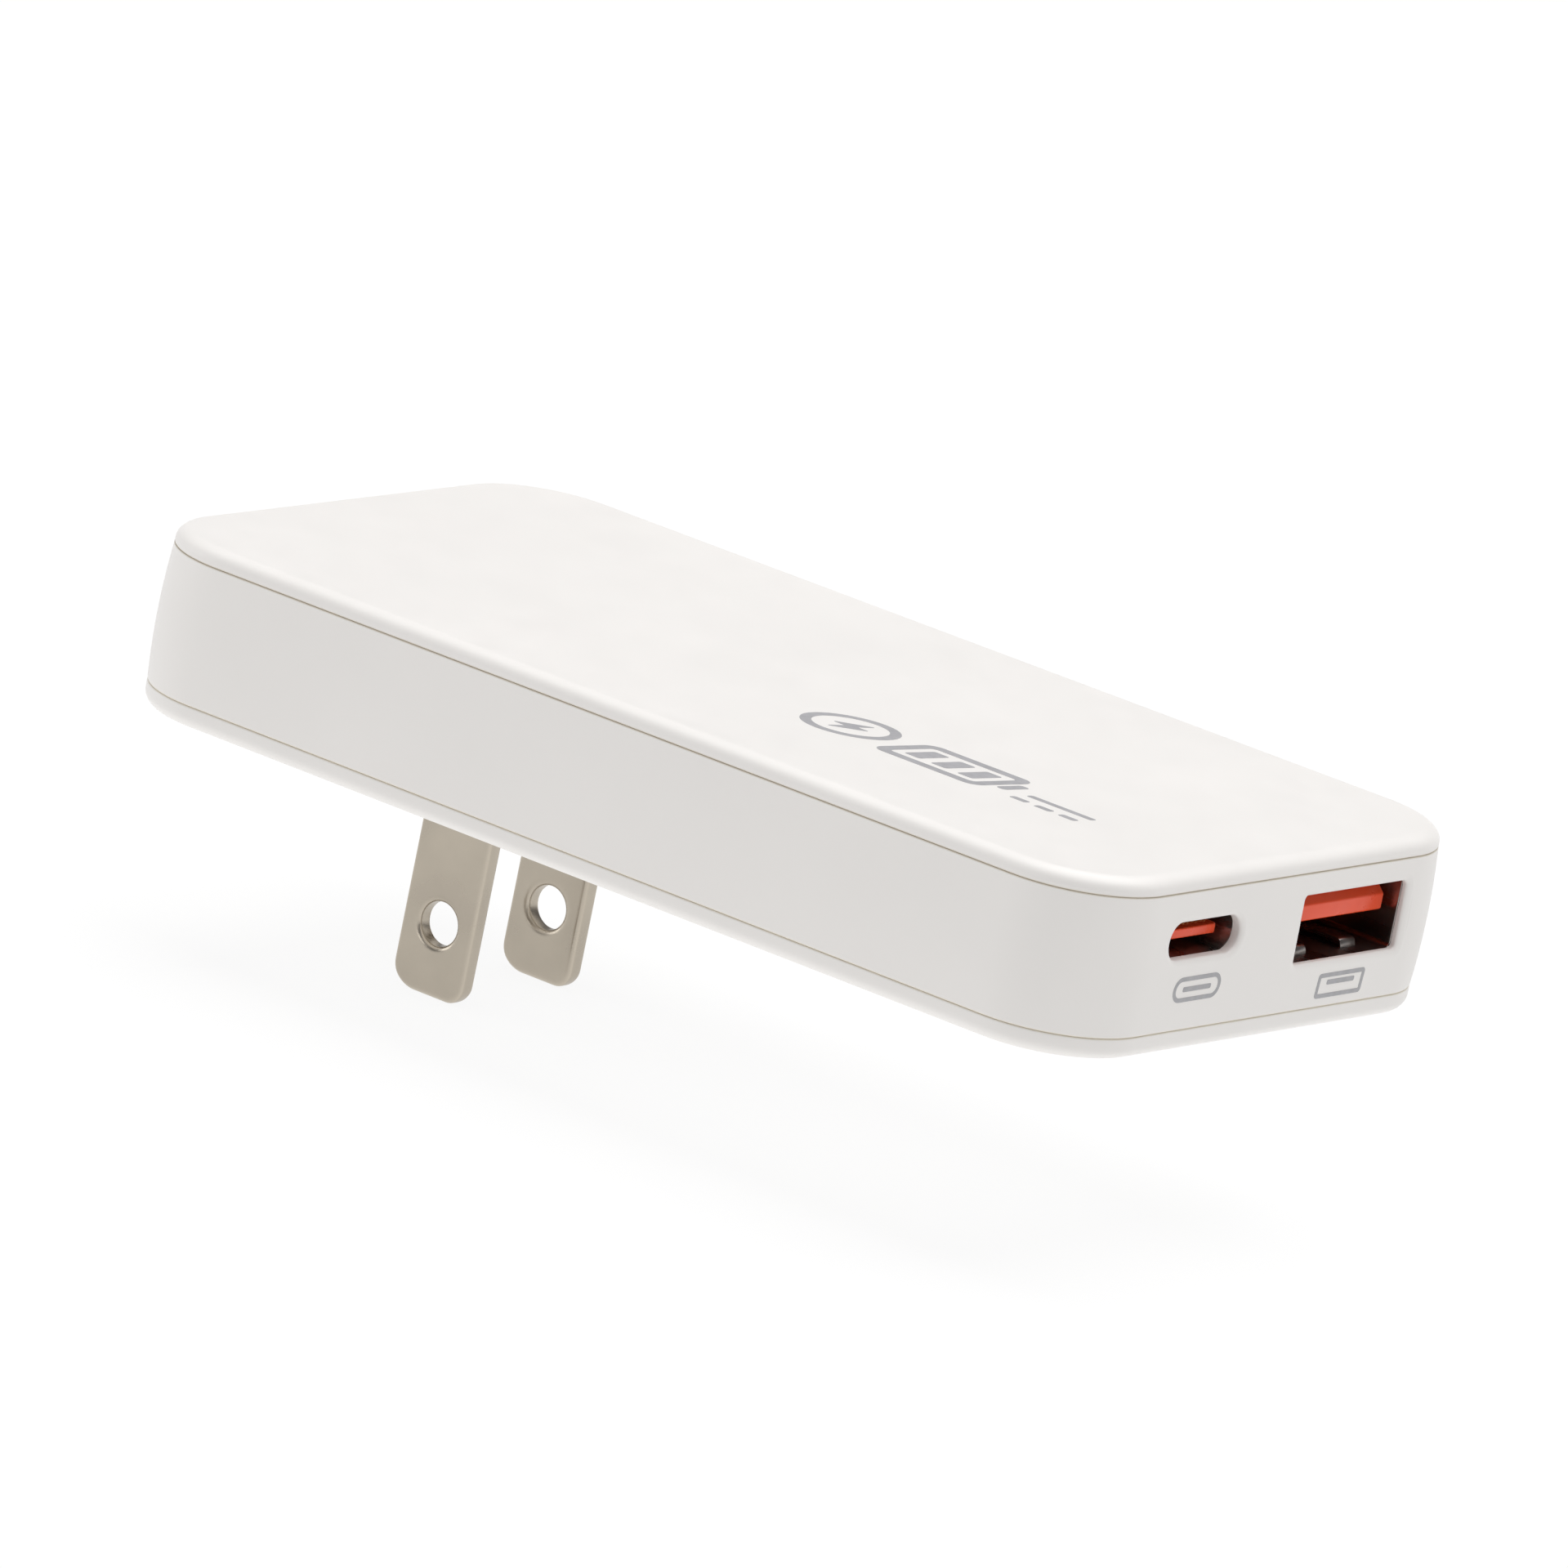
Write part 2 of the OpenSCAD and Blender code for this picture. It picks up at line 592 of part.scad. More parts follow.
module usb_a_contacts() color(gold)
    for (y = [-3.5, -1, 1, 3.5]) {
        translate([usb_a_x - usb_a_depth + usb_a_base_l, usb_a_y + y - 0.5, usb_a_tongue_low - 0.2])
            cube([9.6, 1, 0.2]);
        translate([usb_a_x - usb_a_depth - 0.4, usb_a_y + y - 0.3, board_top_z])
            cube([0.4, 0.6, 3.2]);
    }

module usb_c_shell() color(steel)
    port_shell(usb_c_in, 1.27, usb_c_x, usb_c_depth, usb_c_y, usb_c_z);

usb_c_base_l = 2.2;
module usb_c_tongue() color(orange) {
    rear = usb_c_x - usb_c_depth;
    tongue_l = front_x - tongue_depth - rear - usb_c_base_l;
    port_block([usb_c_in[0] - 0.04, usb_c_in[1] - 0.04], 1.25, rear, usb_c_base_l, usb_c_y, usb_c_z);
    translate([rear + usb_c_base_l + tongue_l / 2, usb_c_y, usb_c_z])
        cube([tongue_l, usb_c_tongue_size[0], usb_c_tongue_size[1]], center = true);
}

module usb_c_contacts() color(gold)
    for (s = [-1, 1], i = [0:11])
        translate([usb_c_x - usb_c_depth + usb_c_base_l, usb_c_y + (i - 5.5) * 0.5 - 0.13,
            usb_c_z + s * (usb_c_tongue_size[1] / 2 + 0.03) - 0.03])
            cube([4.9, 0.26, 0.06]);

port_board_t = 1;
port_board_x = [54.8, 62.6];
port_board_top = usb_c_z - usb_c_in[1] / 2 - shell_t;
module port_board() color(board_green)
    box(port_board_x, [usb_c_y - 4.7, usb_c_y + 4.7], [port_board_top - port_board_t, port_board_top]);

module port_board_pins() color(gold)
    for (x = [port_board_x[0] + 1, port_board_x[1] - 1], s = [-1, 0, 1])
        translate([x - 0.3, usb_c_y + s * 3.4 - 0.3, board_top_z])
            cube([0.6, 0.6, port_board_top - port_board_t - board_top_z]);

top_cover();
side_frame();
bottom_cover();
prong_tray();
prong_carrier();
live_blade();
neutral_blade();
live_contact_leaf();
neutral_contact_leaf();
detent_spring();
live_lead_wire();
neutral_lead_wire();
main_board();
insulation_film();
fuse();
inrush_thermistor();
x_capacitor();
choke_core();
choke_windings();
bridge_rectifier();
bulk_capacitor_1();
bulk_capacitor_2();
bulk_capacitor_3();
transformer_core();
transformer_windings();
gan_switch();
control_chip();
optocoupler();
y_capacitor();
sync_rectifier();
output_capacitors();
output_inductor();
usb_control_chip();
chip_resistors();
chip_capacitors();
heat_spreader();
thermal_pad();
usb_a_shell();
usb_a_tongue();
usb_a_contacts();
usb_c_shell();
usb_c_tongue();
usb_c_contacts();
port_board();
port_board_pins();
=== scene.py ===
import math

import bmesh
import bpy
from mathutils import Matrix, Quaternion, Vector
from mathutils.geometry import delaunay_2d_cdt


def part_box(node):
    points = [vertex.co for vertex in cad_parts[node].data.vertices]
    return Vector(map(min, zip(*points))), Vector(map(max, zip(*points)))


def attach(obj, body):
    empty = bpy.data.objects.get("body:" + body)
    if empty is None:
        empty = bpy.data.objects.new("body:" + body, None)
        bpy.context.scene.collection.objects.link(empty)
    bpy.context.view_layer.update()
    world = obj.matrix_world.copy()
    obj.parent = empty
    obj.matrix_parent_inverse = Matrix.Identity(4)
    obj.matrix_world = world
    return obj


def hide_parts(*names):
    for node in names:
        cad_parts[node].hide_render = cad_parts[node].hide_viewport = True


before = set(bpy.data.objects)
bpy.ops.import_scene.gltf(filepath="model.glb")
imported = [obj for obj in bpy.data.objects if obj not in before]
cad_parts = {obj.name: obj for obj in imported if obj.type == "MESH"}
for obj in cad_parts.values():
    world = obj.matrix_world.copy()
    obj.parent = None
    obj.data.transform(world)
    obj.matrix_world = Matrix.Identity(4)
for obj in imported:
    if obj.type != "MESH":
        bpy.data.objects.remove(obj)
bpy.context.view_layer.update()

# All shapes are worked out in millimetres and scaled when the mesh is made.
MM = 0.001

# Main sizes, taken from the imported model's own boxes
side_low, side_high = [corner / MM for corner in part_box("side_frame")]
TOP_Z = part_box("top_cover")[1].z / MM
FRONT_X = side_high.x
BACK_X = side_low.x
HALF_W = side_high.y

# Housing. The corner radius is measured at mid height, and what lies inside it is set in
# from there. Each pair is a rounding's size across and up.
CORNER_R = 7.8
CORNER_X = (FRONT_X - CORNER_R, BACK_X + CORNER_R)
CORNER_Y = HALF_W - CORNER_R
CORNER_STEPS = 24
MID_Z = 6.5
CROWN = 0.38
WALL_T = 1.4
INNER_X = CORNER_X[0] + CORNER_R - WALL_T
LIP_OUT = WALL_T + 0.05
LIP_IN = LIP_OUT + 0.9
LIP_H = 1.15
LOW_SEAM_Z = 1.65
TOP_SEAM_Z = 11.75
SEAM_GAP = 0.004
LOW_GROOVE = (0.1, 0.2)
TOP_GROOVE = (0.09, 0.13)
GROOVE_STEPS = 5
TOP_EDGE = (1.3, 1.0)
LOW_EDGE_R = 1.0
FLOOR_Z = 1.4

# Pocket that the prongs fold into
POCKET_X = (-4.6, 21.9)
POCKET_Y = 7.6

# Prongs. Points on a blade are (x, z).
BLADE_Y = 6.35
BLADE_W = 6.3
BLADE_T = 1.5
BLADE_TIP_Z = -17.0
BLADE_HOLE = (0.0, -11.7)
BLADE_HOLE_R = 1.6
HINGE = (0.0, 3.8)
TRUNNION_R = 1.52

# Ports. "inside" is the shell's opening and "window" the wall's, both across and up. "rim" is
# the rounding of the wall round the window, and "mouth" the place of the shell's front end.
BOARD_TOP_Z = 4.4
SHELL_T = 0.3
TONGUE_X = FRONT_X - 1.55
USB_A = {"y": 8.5, "z": 7.58, "inside": (12.5, 5.12), "radius": 0.4, "depth": 14.0,
         "window": (12.4, 4.98), "window_radius": 0.4, "rim": (0.56, 0.34),
         "mouth": FRONT_X - 0.65, "lead_in": 0.0}
USB_C = {"y": -9.3, "z": 8.2, "inside": (8.34, 2.56), "radius": 1.27, "depth": 8.5,
         "window": (8.42, 2.7), "window_radius": 1.33, "rim": (0.4, 0.36),
         "mouth": FRONT_X - 0.93, "lead_in": 0.12}


# ---- Mesh building ----

class Shape:
    """A mesh in the making: its points in millimetres, and its faces."""

    def __init__(self):
        self.points = []
        self.faces = []

    def add(self, points):
        """Adds points and gives back their numbers."""
        first = len(self.points)
        self.points.extend(tuple(p) for p in points)
        return list(range(first, len(self.points)))

    def strip(self, one, other, closed=True):
        """Joins two loops of as many points with four-sided faces."""
        count = len(one)
        for i in range(count if closed else count - 1):
            j = (i + 1) % count
            self.faces.append((one[i], one[j], other[j], other[i]))

    def strips(self, loops):
        """Joins each loop with the next one."""
        for one, other in zip(loops, loops[1:]):
            self.strip(one, other)

    def cap(self, loop):
        self.faces.append(tuple(loop))

    def patch(self, loops, flat, place, step=None):
        """Fills the area inside the first loop and outside the others with triangles.
        flat gives a point's two coordinates on the area, and place goes back. With a step
        the area gets points of its own about that far apart."""
        ids = [i for loop in loops for i in loop]
        coords = [Vector(flat(self.points[i])) for i in ids]
        edges = []
        rings = []
        start = 0
        for loop in loops:
            count = len(loop)
            edges += [(start + i, start + (i + 1) % count) for i in range(count)]
            rings.append(coords[start:start + count])
            start += count
        if step:
            extra = grid_inside(rings, step)
            ids += self.add(place(u, v) for u, v in extra)
            coords += [Vector(p) for p in extra]
        same_point = 1e-7
        spots, _, triangles, sources, *_ = delaunay_2d_cdt(coords, edges, [], 0, same_point)
        for triangle in triangles:
            middle = sum((spots[k] for k in triangle), Vector((0, 0))) / 3
            if inside(middle, rings[0]) and not any(inside(middle, r) for r in rings[1:]):
                self.faces.append(tuple(ids[sources[k][0]] for k in triangle))


def inside(point, ring):
    """Whether a point lies inside a closed ring."""
    hit = False
    x, y = point
    for a, b in zip(ring, ring[1:] + ring[:1]):
        if (a[1] > y) != (b[1] > y):
            if x < (b[0] - a[0]) * (y - a[1]) / (b[1] - a[1]) + a[0]:
                hit = not hit
    return hit


def near(point, ring, limit):
    """Whether a point lies closer than limit to a closed ring."""
    tiny = 1e-12
    for a, b in zip(ring, ring[1:] + ring[:1]):
        along = b - a
        share = (point - a).dot(along) / max(along.length_squared, tiny)
        if (a + along * min(1, max(0, share)) - point).length < limit:
            return True
    return False


def grid_inside(rings, step):
    """Points of a staggered grid inside the first ring and outside the others."""
    clear = 0.55 * step
    xs = [p[0] for p in rings[0]]
    ys = [p[1] for p in rings[0]]
    columns = int((max(xs) - min(xs)) / step)
    rows = int((max(ys) - min(ys)) / step)
    found = []
    for i in range(1, columns + 1):
        for j in range(1, rows + 1):
            p = Vector((min(xs) + i * step, min(ys) + (j - 0.5 * (i % 2)) * step))
            if not inside(p, rings[0]) or any(inside(p, r) for r in rings[1:]):
                continue
            if not any(near(p, r, clear) for r in rings):
                found.append((p[0], p[1]))
    return found


def arc(centre, radii, start, end, steps):
    """Points on an elliptic arc between two angles in degrees."""
    points = []
    for i in range(steps + 1):
        a = math.radians(start + (end - start) * i / steps)
        points.append((centre[0] + radii[0] * math.cos(a), centre[1] + radii[1] * math.sin(a)))
    return points


def circle(centre, radius, count):
    """Points once round a circle."""
    return arc(centre, (radius, radius), 0, 360 * (count - 1) / count, count - 1)


def rounded(corners, radii, steps=6):
    """A polygon's outline with each corner rounded to its own radius."""
    count = len(corners)
    outline = []
    for i in range(count):
        here = Vector(corners[i])
        before = (Vector(corners[i - 1]) - here).normalized()
        after = (Vector(corners[(i + 1) % count]) - here).normalized()
        half = before.angle(after) / 2
        reach = radii[i] / math.tan(half)
        middle = here + (before + after).normalized() * radii[i] / math.sin(half)
        first = here + before * reach - middle
        last = here + after * reach - middle
        turn = first.angle_signed(last)
        for k in range(steps + 1):
            outline.append(tuple(middle + turned(first, -turn * k / steps)))
    return outline


def turned(vector, angle):
    """The vector turned anticlockwise by an angle in radians."""
    cosine, sine = math.cos(angle), math.sin(angle)
    x, y = vector
    return Vector((x * cosine - y * sine, x * sine + y * cosine))


def inset(outline, distance):
    """The outline moved inwards by a distance, for an outline that runs anticlockwise."""
    sharpest = 0.3
    moved = []
    count = len(outline)
    for i in range(count):
        here = Vector(outline[i])
        before = (here - Vector(outline[i - 1])).normalized()
        after = (Vector(outline[(i + 1) % count]) - here).normalized()
        normal = Vector((-before[1] - after[1], before[0] + after[0])).normalized()
        square = Vector((-before[1], before[0]))
        moved.append(tuple(here + normal * distance / max(sharpest, normal.dot(square))))
    return moved


def rectangle(size, radius, grow=0.0, centre=(0, 0), steps=8):
    """A rounded rectangle's outline, grown outwards by a distance."""
    half_u = size[0] / 2 - radius
    half_v = size[1] / 2 - radius
    reach = (radius + grow, radius + grow)
    outline = []
    for i, (su, sv) in enumerate([(1, 1), (-1, 1), (-1, -1), (1, -1)]):
        middle = (centre[0] + su * half_u, centre[1] + sv * half_v)
        outline += arc(middle, reach, 90 * i, 90 * i + 90, steps)
    return outline


def fillet(across, deep, steps, start=0):
    """(distance in from the flat's end, depth) along a rounded edge, from the flat on.
    With a start angle the edge begins in a soft crease."""
    first = math.radians(start)
    points = []
    for i in range(steps + 1):
        a = first + (math.pi / 2 - first) * i / steps
        run = (math.sin(a) - math.sin(first)) / (1 - math.sin(first))
        drop = (math.cos(first) - math.cos(a)) / math.cos(first)
        points.append((across * run, deep * drop))
    return points


def plate(shape, outer, holes, half, edge, place, step=None, ease=0.12, steps=5):
    """A flat plate with rounded edges, half thick on each side of height 0. outer and each of
    holes give their outline when called with the distance that it lies in from the edge, and
    place takes (u, v, height). Each flat starts a distance of ease past the rounding, with
    points a step apart inside it."""
    contours = [outer] + holes
    lines = [(0.0, 0.0)]
    if edge:
        lines = [(edge + ease, 0.0)]
        lines += [(edge - run, depth) for run, depth in fillet(edge, edge, steps)]
    skins = []
    for side in (1, -1):
        ends = []
        borders = []
        flat_of = {}
        for contour in contours:
            loops = []
            for distance, depth in lines:
                height = side * (half - depth)
                loops.append(shape.add(place(u, v, height) for u, v in contour(distance)))
            shape.strips(loops)
            borders.append(loops[0])
            ends.append(loops[-1])
            for i, flat in zip(loops[0], contour(lines[0][0])):
                flat_of[shape.points[i]] = flat
        shape.patch(borders, flat_of.get, lambda u, v: place(u, v, side * half), step)
        skins.append(ends)
    for one, other in zip(*skins):
        shape.strip(one, other)


def make_piece(name, shape, body, finish, replaced=()):
    """Turns a shape into an object that rides on a body of the frame."""
    sharp_from = math.radians(38)
    mesh = bpy.data.meshes.new(name)
    mesh.from_pydata([[c * MM for c in p] for p in shape.points], [], shape.faces)
    work = bmesh.new()
    work.from_mesh(mesh)
    bmesh.ops.recalc_face_normals(work, faces=work.faces)
    work.to_mesh(mesh)
    work.free()
    mesh.shade_smooth()
    mesh.set_sharp_from_angle(angle=sharp_from)
    mesh.materials.append(finish)
    piece = bpy.data.objects.new(name, mesh)
    bpy.context.scene.collection.objects.link(piece)
    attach(piece, body)
    if replaced:
        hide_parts(*replaced)


# ---- Housing ----

def wall_radius(z):
    """Corner radius of the outline at a height: the walls bulge a little at mid height."""
    return CORNER_R - CROWN * ((z - MID_Z) / MID_Z) ** 2


def panel_x(z):
    """Outer face of the port end at a height."""
    return CORNER_X[0] + wall_radius(z)


def body_ring(radius, z):
    """The body's outline at one height, from one end of the port end's flat to the other.
    A point beyond each end of a corner keeps the flats flat in shading."""
    beyond = 1.0
    beside_ports = 0.06
    points = []
    places = [(0, 1), (1, 1), (1, -1), (0, -1)]
    for i, (end, side) in enumerate(places):
        centre = (CORNER_X[end], side * CORNER_Y)
        bow = arc(centre, (radius, radius), 90 * i, 90 * i + 90, CORNER_STEPS)
        before = beside_ports if i == 0 else beyond
        after = beside_ports if i == 3 else beyond
        lead_in = turned(Vector((0, -before)), math.radians(90 * i))
        lead_out = turned(Vector((0, after)), math.radians(90 * i + 90))
        points.append(tuple(Vector(bow[0]) + lead_in))
        points += bow
        points.append(tuple(Vector(bow[-1]) + lead_out))
    return [(x, y, z) for x, y in points]


def body_rings(shape, section):
    """Carries a section, given as (corner radius, height), round the body."""
    return [shape.add(body_ring(radius, z)) for radius, z in section]


def top_cover(finish):
    """Lid with a softly rounded top edge and a lip that reaches into the frame."""
    shape = Shape()
    seam = TOP_SEAM_Z + SEAM_GAP
    side = wall_radius(TOP_SEAM_Z)
    flat = side - TOP_EDGE[0]
    lip_in = CORNER_R - LIP_IN
    lip_out = CORNER_R - LIP_OUT
    lip_z = TOP_SEAM_Z - LIP_H
    groove_middle = (side - TOP_GROOVE[0], seam + TOP_GROOVE[1])
    beside_lip = 0.55
    edge_steps = 14
    section = [(lip_in - beside_lip, TOP_SEAM_Z), (lip_in, TOP_SEAM_Z)]
    section += [(lip_in, lip_z), (lip_out, lip_z), (lip_out, seam)]
    section += arc(groove_middle, TOP_GROOVE, -90, 0, GROOVE_STEPS)
    section += arc((flat, TOP_Z - TOP_EDGE[1]), TOP_EDGE, 0, 90, edge_steps)
    section += [(flat - beside_edge, TOP_Z) for beside_edge in (0.3, 1.2)]
    rings = body_rings(shape, section)
    shape.strips(rings)
    shape.cap(rings[0])
    shape.cap(rings[-1])
    make_piece("top_cover_shell", shape, "housing", finish, ["top_cover"])


def port_window(shape, port):
    """One port's window in the wall, with the seat for its shell behind it. Gives back the
    loops where it meets the wall's outer and inner faces."""
    beside_rim = 0.04
    crease = 16
    seat_gap = 0.05
    beyond_mouth = 0.03
    rim_steps = 8
    corner_steps = 10
    size = port["window"]
    radius = port["window_radius"]
    across, deep = port["rim"]
    middle = (port["y"], port["z"])
    rim = [(across + beside_rim, 0)]
    rim += [(across - run, depth) for run, depth in fillet(across, deep, rim_steps, crease)]
    loops = []
    for grow, depth in rim:
        outline = rectangle(size, radius, grow, middle, corner_steps)
        loops.append(shape.add((panel_x(z) - depth, y, z) for y, z in outline))
    seat = [side + 2 * (SHELL_T + seat_gap) for side in port["inside"]]
    seat_r = port["radius"] + SHELL_T + seat_gap
    seat_x = port["mouth"] + beyond_mouth
    for opening, opening_r, x in ((size, radius, seat_x), (seat, seat_r, seat_x),
                                  (seat, seat_r, INNER_X)):
        outline = rectangle(opening, opening_r, 0, middle, corner_steps)
        loops.append(shape.add((x, y, z) for y, z in outline))
    shape.strips(loops)
    return loops[0], loops[-1]


def side_frame(finish):
    """Band round all four sides, with both ports' windows in its port end."""
    shape = Shape()
    low = LOW_SEAM_Z + SEAM_GAP
    high = TOP_SEAM_Z - SEAM_GAP
    low_wall = low + LOW_GROOVE[1]
    high_wall = high - TOP_GROOVE[1]
    low_middle = (wall_radius(low_wall) - LOW_GROOVE[0], low_wall)
    high_middle = (wall_radius(high_wall) - TOP_GROOVE[0], high_wall)
    section = arc(low_middle, LOW_GROOVE, -90, 0, GROOVE_STEPS)
    first_wall = len(section) - 1
    steps = 14
    for i in range(1, steps):
        z = low_wall + (high_wall - low_wall) * i / steps
        section.append((wall_radius(z), z))
    section += arc(high_middle, TOP_GROOVE, 0, 90, GROOVE_STEPS)
    last_wall = first_wall + steps
    section += [(CORNER_R - WALL_T, high), (CORNER_R - WALL_T, low)]
    rings = body_rings(shape, section)
    count = len(rings)
    for i in range(count):
        is_panel = first_wall <= i < last_wall or i == count - 2
        shape.strip(rings[i], rings[(i + 1) % count], closed=not is_panel)
    # The port end is left open by the rings: its two faces are filled round the windows
    wall = rings[first_wall:last_wall + 1]
    outer = [r[0] for r in wall] + [r[-1] for r in reversed(wall)]
    inner = [rings[-2][0], rings[-1][0], rings[-1][-1], rings[-2][-1]]
    windows = [port_window(shape, port) for port in (USB_A, USB_C)]
    shape.patch([outer] + [w[0] for w in windows], lambda p: (p[1], p[2]),
                lambda y, z: (panel_x(z), y, z), step=0.7)
    shape.patch([inner] + [w[1] for w in windows], lambda p: (p[1], p[2]),
                lambda y, z: (INNER_X, y, z))
    make_piece("side_frame_shell", shape, "housing", finish, ["side_frame"])


def bottom_cover(finish):
    """Tray with a rounded edge, the prongs' opening and a lip that reaches into the frame."""
    shape = Shape()
    seam = LOW_SEAM_Z - SEAM_GAP
    side = wall_radius(LOW_SEAM_Z)
    flat = side - LOW_EDGE_R
    beside_edge = 0.5
    edge_steps = 8
    lip_in = CORNER_R - LIP_IN
    lip_out = CORNER_R - LIP_OUT
    lip_z = LOW_SEAM_Z + LIP_H
    groove_middle = (side - LOW_GROOVE[0], seam - LOW_GROOVE[1])
    section = [(flat - beside_edge, 0)]
    section += arc((flat, LOW_EDGE_R), (LOW_EDGE_R, LOW_EDGE_R), -90, 0, edge_steps)
    section += arc(groove_middle, LOW_GROOVE, 0, 90, GROOVE_STEPS)
    section += [(lip_out, seam), (lip_out, lip_z), (lip_in, lip_z), (lip_in, FLOOR_Z)]
    rings = body_rings(shape, section)
    shape.strips(rings)
    rim = 0.35
    beside_rim = 0.25
    rim_steps = 6
    pocket_r = 0.6
    size = (POCKET_X[1] - POCKET_X[0], 2 * POCKET_Y)
    middle = (sum(POCKET_X) / 2, 0)
    lines = [(rim + beside_rim, 0.0)]
    lines += [(rim - run, depth) for run, depth in fillet(rim, rim, rim_steps)]
    lines.append((0.0, FLOOR_Z))
    loops = []
    for grow, z in lines:
        outline = rectangle(size, pocket_r, grow, middle)
        loops.append(shape.add((x, y, z) for x, y in outline))
    shape.strips(loops)
    for outer, hole, level, step in ((rings[0], loops[0], 0, 4),
                                     (rings[-1], loops[-1], FLOOR_Z, None)):
        shape.patch([outer, hole], lambda p: (p[0], p[1]), lambda x, y: (x, y, level), step)
    make_piece("bottom_cover_shell", shape, "housing", finish, ["bottom_cover"])


# ---- Prongs ----

def blade_outline():
    """Side view of a blade, anticlockwise: rounded tip, eye round the hinge, contact lug."""
    half = BLADE_W / 2
    front_r = 1.5
    back_r = 1.9
    lug_rise = 0.6
    lug_half_angle = 44
    lug_ramp = 24
    steps = 10
    low = BLADE_TIP_Z
    points = arc((half - front_r, low + front_r), (front_r, front_r), -90, 0, steps)
    for angle in range(0, 181, 5):
        share = min(1, max(0, (lug_half_angle - abs(angle - 90)) / lug_ramp))
        reach = half + lug_rise * share * share * (3 - 2 * share)
        turn = math.radians(angle)
        points.append((HINGE[0] + reach * math.cos(turn), HINGE[1] + reach * math.sin(turn)))
    points += arc((back_r - half, low + back_r), (back_r, back_r), 180, 270, steps)
    return points


def blade(name, y, node, finish):
    """A blade with its tip thinned, its hole countersunk and an eye for the trunnion."""
    shape = Shape()
    outline = blade_outline()
    half = BLADE_T / 2
    edge = 0.38
    thinned = 0.3
    taper = 1.3
    hole_flare = 1.4

    def place(x, z, height):
        """The plate thins to its tip in a soft curve."""
        share = min(1, max(0, (BLADE_TIP_Z + taper - z) / taper))
        return (x, y + height * (1 - thinned / half * share * share), z)

    def eye(distance):
        return circle(HINGE, TRUNNION_R + distance, 32)

    def hole(distance):
        return circle(BLADE_HOLE, BLADE_HOLE_R + hole_flare * distance, 48)

    plate(shape, lambda d: inset(outline, d), [hole, eye], half, edge, place, step=0.55,
          steps=7)
    make_piece(name, shape, "prongs", finish, [node])


# ---- Ports ----

def port_shell(name, port, node, finish, springs=False):
    """Drawn steel shell of a port, with a rolled mouth that may open in a short lead-in."""
    shape = Shape()
    middle = (port["y"], port["z"])
    mouth = port["mouth"]
    rear = mouth - port["depth"]
    flare = port["lead_in"]
    lip = (SHELL_T - flare) / 2
    lip_middle = (mouth - lip, flare + lip)
    flare_x = mouth - 1.5 * lip
    throat_x = flare_x - 2 * flare - 0.1
    section = [(SHELL_T, rear), (SHELL_T, mouth - 3 * lip)]
    section += [(grow, x) for x, grow in arc(lip_middle, (lip, lip), 90, -90, 8)]
    section += [(flare, flare_x), (0, throat_x), (0, rear)]
    loops = []
    for grow, x in section:
        outline = rectangle(port["inside"], port["radius"], grow, middle)
        loops.append(shape.add((x, y, z) for y, z in outline))
    shape.strips(loops + loops[:1])
    if springs:
        retention_springs(shape, port)
        shell_feet(shape, port)
    make_piece(name, shape, "housing", finish, [node])


def spring_outline(root_x, length, rise):
    """Side view of a retention spring: it climbs from its root and rolls over at its end."""
    sheet = 0.2
    root_z = 0.02
    nose = (0.4, rise + 0.2)
    inner_nose = (nose[0] - sheet, nose[1] - sheet)
    nose_end = 4
    crest = root_x + length - nose[0]
    climb = 0.8
    steps = 16
    nose_steps = 6
    upper = []
    for i in range(steps):
        share = math.sin(min(1, i / (climb * steps)) * math.pi / 2) ** 2
        upper.append((root_x + (crest - root_x) * i / steps, root_z + rise * share))
    lower = [(x, z - sheet) for x, z in upper]
    middle = (crest, root_z + rise - nose[1])
    upper += arc(middle, nose, 90, nose_end, nose_steps)
    lower += arc(middle, inner_nose, 90, nose_end, nose_steps)
    return lower + upper[::-1]


def retention_springs(shape, port):
    """Two springs that rise from the shell's floor and two flatter ones from its roof."""
    root_x = port["mouth"] - 6.8
    length = 5.5
    half_w = 0.9
    apart = 3
    for side in (-1, 1):
        for up, rise in ((1, 0.58), (-1, 0.25)):
            level = port["z"] - up * port["inside"][1] / 2
            middle_y = port["y"] + side * apart
            outline = spring_outline(root_x, length, rise)
            plate(shape, lambda d: inset(outline, d), [], half_w, 0.03,
                  lambda x, z, y: (x, middle_y + y, level + up * z), ease=0.01, steps=2)


def shell_feet(shape, port):
    """Four feet that reach from the shell's sides down to the board."""
    foot_l = 2
    half_t = SHELL_T / 2 - 0.01
    half_w = port["inside"][0] / 2 + SHELL_T / 2
    top = port["z"] - port["inside"][1] / 2 + 0.2
    size = (foot_l, top - BOARD_TOP_Z)
    for side in (-1, 1):
        for behind_mouth in (3, 11):
            middle = (port["mouth"] - behind_mouth, (top + BOARD_TOP_Z) / 2)
            outline = rectangle(size, 0.2, centre=middle)
            plate(shape, lambda d: inset(outline, d), [], half_t, 0.05,
                  lambda x, z, y: (x, port["y"] + side * half_w + y, z), ease=0.02, steps=2)


def tongue_base(shape, port, length):
    """Moulded block that closes the rear of a shell and carries the tongue. Gives back
    where the tongue starts, a little inside the block."""
    fit = 0.02
    corner_fit = 0.03
    overlap = 0.2
    size = [side - 2 * fit for side in port["inside"]]
    radius = port["radius"] - corner_fit
    rear = port["mouth"] - port["depth"]
    plate(shape, lambda d: rectangle(size, radius, -d, (port["y"], port["z"])), [],
          length / 2, 0.1, lambda y, z, x: (rear + length / 2 + x, y, z))
    return rear + length - overlap


